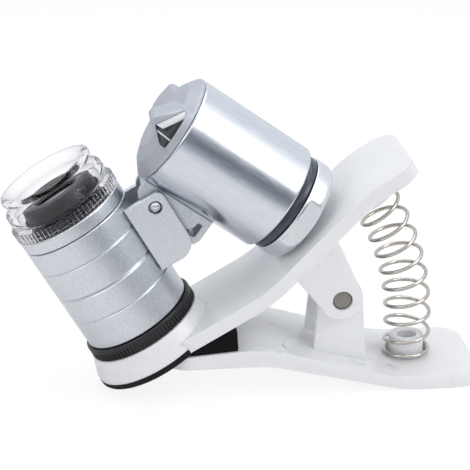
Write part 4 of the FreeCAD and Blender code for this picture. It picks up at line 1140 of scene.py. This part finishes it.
@dataclass
class PenLamp(Part):
    """The swinging lamp: sleeve, beaked head, diodes, dark ring, switch cap and bracket."""

    radius: float = 9.14
    length: float = 20.65
    bore: float = 8.2
    edge: float = 0.42
    ring_end: float = -22.3
    # The beak's ridge stands on a dome, and falls towards the far side from here over this width
    dome: float = 2.85
    fall: float = 0.93
    fall_start: float = -4.2
    fall_width: float = 5.2
    window_radius: float = 8.95
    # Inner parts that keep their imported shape
    hidden: dict[str, str] = field(default_factory=lambda: {
        "led_board": "board_lacquer", "battery_holder": "black_anodised_tube",
        "contact_plate_rear": "brass_contact", "contact_plate_front": "brass_contact",
        "button_cell_1": "button_cell_can", "button_cell_2": "button_cell_can",
        "button_cell_3": "button_cell_can"})

    def build(self) -> None:
        """Make every piece of the lamp."""
        end, foot = -0.03, -self.length
        sleeve = lathe(((self.bore, foot), (self.radius, foot, self.edge),
                        (self.radius, end, self.edge), (self.bore, end)), 200)
        self.place("sleeve", sleeve, LAMP, "drawn_silver_sleeve", Body.LAMP, "satin_silver", "lamp_sleeve")
        head = self.lowered(self.softened("lamp_head", 0.11, 9), LAMP.matrix())
        self.place("lamp_beak", head, None, "coated_abs_head", Body.LAMP, "head_silver", "lamp_head",
                   weighted=False)
        self.place("lamp_stirrup", self.softened("lamp_bracket", 0.09, 3), None, "plated_sheet", Body.LAMP,
                   "pin_steel", "lamp_bracket")
        self.windows()
        self.switch()
        for node, finish in self.hidden.items():
            self.dress(node, finish)
        for node, name in (("led_white", "white_diode"), ("led_uv", "violet_diode")):
            diode = self.lowered(self.frame["nodes"][node].data.copy(), LAMP.matrix())
            self.place(name, diode, None, "clear_diode_resin", Body.LAMP, "led_clear", node)

    def lowered(self, mesh: Mesh, axes: Matrix) -> Mesh:
        """Let what stands above the dome fall gently towards the far side.

        Args:
            mesh: Mesh to bend.
            axes: Matrix from the lamp's frame to the mesh's own.

        Returns:
            The same mesh.
        """
        away = axes.inverted()
        for vert in mesh.vertices:
            spot = away @ vert.co
            share = min(max((spot.y - self.fall_start) / self.fall_width, 0.0), 1.0)
            if spot.z > self.dome and share > 0.0:
                spot.z -= (spot.z - self.dome) * self.fall * share * share * (3 - 2 * share)
                vert.co = axes @ spot
        return mesh

    def windows(self) -> None:
        """Make the smoked block in each end of the beak, and on the near one a white plate that paints in the
        highlight on its upper facet, with the divider rib.
        """
        left, right, peak, foot = -1.35, 4.75, (1.0, 4.62), 1.33
        for side, end in ((-1, "near"), (1, "far")):
            block = round_plate(((left, foot), (right, foot)),
                                ((left, 2.2), peak, (right, 1.98)), self.window_radius, side)
            self.place("smoked_window_" + end, self.lowered(block, Matrix()), LAMP, "smoked_window",
                       Body.LAMP, "window_dark", "lamp_window_" + end, weighted=False)
        # Painted highlight: a white plate over the near window's upper facet stands in for the reflection of
        # the lamps there; the thin bar beside it is the divider rib
        proud = self.window_radius + 0.05
        painted_highlight = round_plate(((1.0, 3.35), (3.9, foot), (right, foot)), (peak, (right, 1.98)),
                            proud, -1)
        bar = round_plate(((-0.02, foot), (0.22, foot), (0.46, 3.95)),
                          ((-0.02, foot + 0.01), (0.2, 3.8), (0.46, 3.96)), proud, -1)
        self.place("beak_facet", join_meshes((painted_highlight, bar)), LAMP, "white_abs", Body.LAMP,
                   "window_dark", weighted=False)

    def switch(self) -> None:
        """Make the dark ring and the bright cap that turns on it."""
        shoulder, inner, end = -self.length - 0.02, -24.9, self.ring_end
        # The ring's dark grey is partly painted reflection: it stands in for the dark that the groove between
        # sleeve and cap reflects
        ring = lathe(((0, -18.5), (8.14, -18.5), (8.14, shoulder), (8.4, shoulder),
                      (8.4, end, 0.25), (5.0, end), (5.0, inner), (0, inner)), LARGE)
        self.place("switch_ring", ring, LAMP, "dark_grey_abs", Body.LAMP, "dark_plastic", "switch_base")
        self.place("turning_cap", self.softened("switch_cap", 0.13, 3), None, "bright_plated_cap",
                   Body.SWITCH, "cap_silver", "switch_cap")


@dataclass
class Studio:
    """Camera at the photograph's angle, white surround, glowing table and soft lamps."""

    camera_place: Place = (-26.92, -223.17, 109.39)
    camera_aim: Place = (0.1063, 0.9299, -0.3522)
    lens: float = 112.9
    sensor: float = 36.0
    # Tones from straight down to straight up: a dark band at the horizon draws the edges of bright metal
    tones: tuple[tuple[float, str], ...] = (
        (0.0, "#e4e8ee"), (0.2, "#e6e9ef"), (0.34, "#d4d8df"), (0.43, "#8f949b"), (0.5, "#62676d"),
        (0.58, "#646a71"), (0.66, "#a4a8ae"), (0.72, "#f2f3f5"), (0.78, "#ffffff"), (0.84, "#f4f5f7"),
        (1.0, "#dfe1e6"))

    def build(self) -> None:
        """Make the camera, the surround, the floor and the lamps."""
        bpy.context.scene.view_settings.view_transform = "Standard"
        self.camera()
        self.surround()
        self.floor()
        self.lamp("key_softbox", (230, -165, 235), 190, 0.3)
        self.lamp("fill_softbox", (-260, -160, 140), 240, 0.14)
        self.lamp("top_softbox", (0, 60, 330), 260, 0.38)

    @staticmethod
    def hang(name: str, data: bpy.types.ID, spot: Place, aim: Place | Vector) -> bpy.types.Object:
        """Return a camera or lamp at a place in millimetres, looking along its aim."""
        item = linked(name, data)
        item.location = Vector(spot) * MM
        item.rotation_mode = "QUATERNION"
        item.rotation_quaternion = Vector(aim).to_track_quat("-Z", "Y")
        return item

    def camera(self) -> None:
        """Place the camera where the photograph was taken."""
        data = bpy.data.cameras.new("camera")
        data.lens = self.lens
        data.sensor_width = self.sensor
        data.clip_start = 0.01
        bpy.context.scene.camera = self.hang("camera", data, self.camera_place, self.camera_aim)

    def surround(self) -> None:
        """Make the surround: toned for gloss, an even soft grey for matt light, white to the camera."""
        world = bpy.data.worlds.new("studio")
        bpy.context.scene.world = world
        world.use_nodes = True
        tree = world.node_tree
        tree.nodes.clear()
        parts = add_node(tree, "ShaderNodeSeparateXYZ", {
            0: add_node(tree, "ShaderNodeTexCoord").outputs["Generated"]}).outputs
        up = add_node(tree, "ShaderNodeMapRange", {"Value": parts["Z"], "From Min": -1.0, "From Max": 1.0})
        ramp = add_node(tree, "ShaderNodeValToRGB", {"Fac": up})
        elements = ramp.color_ramp.elements
        while len(elements) < len(self.tones):
            elements.new(0.5)
        for element, (position, code) in zip(elements, self.tones):
            element.position = position
            element.color = linear(code)
        # Behind the object the room is an even light grey, so no dark band runs round it
        front = add_node(tree, "ShaderNodeMapRange", {"Value": parts["Y"], "From Min": 0.35,
                                                      "From Max": -0.1})
        path = add_node(tree, "ShaderNodeLightPath")
        shiny, soft, white = (add_node(tree, "ShaderNodeBackground", {"Color": colour, "Strength": strength})
                              for colour, strength in ((blend_colours(tree, front, "#cfd3d9", ramp), 1.35),
                                                       (linear("#f6f7fa"), 0.54), (linear("#ffffff"), 1.0)))
        lit = add_node(tree, "ShaderNodeMixShader", {0: path.outputs["Is Glossy Ray"], 1: soft, 2: shiny})
        both = add_node(tree, "ShaderNodeMixShader", {0: seen_rays(tree, path), 1: lit, 2: white})
        add_node(tree, "ShaderNodeOutputWorld", {"Surface": both})

    def floor(self) -> None:
        """Make the white table, which glows white to the camera and keeps a soft shadow."""
        material, tree = new_material("white_table")
        seen = seen_rays(tree, add_node(tree, "ShaderNodeLightPath"))
        share = add_node(tree, "ShaderNodeMath", {0: seen, 1: 0.8}, operation="MULTIPLY")
        matt = add_node(tree, "ShaderNodeBsdfDiffuse", {"Color": (0.95, 0.95, 0.95, 1.0)})
        glow = add_node(tree, "ShaderNodeEmission", {"Color": linear("#ffffff"), "Strength": 1.08})
        both = add_node(tree, "ShaderNodeMixShader", {0: share, 1: matt, 2: glow})
        add_node(tree, "ShaderNodeOutputMaterial", {"Surface": both})
        near, far, side = -0.13, 0.9, 0.9
        mesh = bpy.data.meshes.new("table")
        mesh.from_pydata([(-side, near, 0), (side, near, 0), (side, far, 0), (-side, far, 0)], [],
                         [(0, 1, 2, 3)])
        mesh.materials.append(material)
        table = linked("table", mesh)
        table.location.z = -0.0001

    def lamp(self, name: str, spot: Place, size_mm: float, watts: float) -> None:
        """Hang a soft square lamp that aims at the object.

        Args:
            name: Name of the lamp.
            spot: Place in millimetres.
            size_mm: Side of the lamp.
            watts: Power.
        """
        data = bpy.data.lights.new(name, "AREA")
        data.size = size_mm * MM
        data.energy = watts
        middle = Vector((0.0, 0.0, 22.0))
        self.hang(name, data, spot, middle - Vector(spot))


def main() -> None:
    """Load the frame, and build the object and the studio."""
    logging.basicConfig(level=logging.INFO, format="%(message)s")
    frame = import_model()
    Studio().build()
    shared = (Finish(), frame, {"ribs": rib_ring_tree(), "ridges": stacked_ring_tree(), "wire": wire_tree()})
    for group in (Clip, Microscope, PenLamp):
        group(*shared).build()


if __name__ == "__main__":
    main()
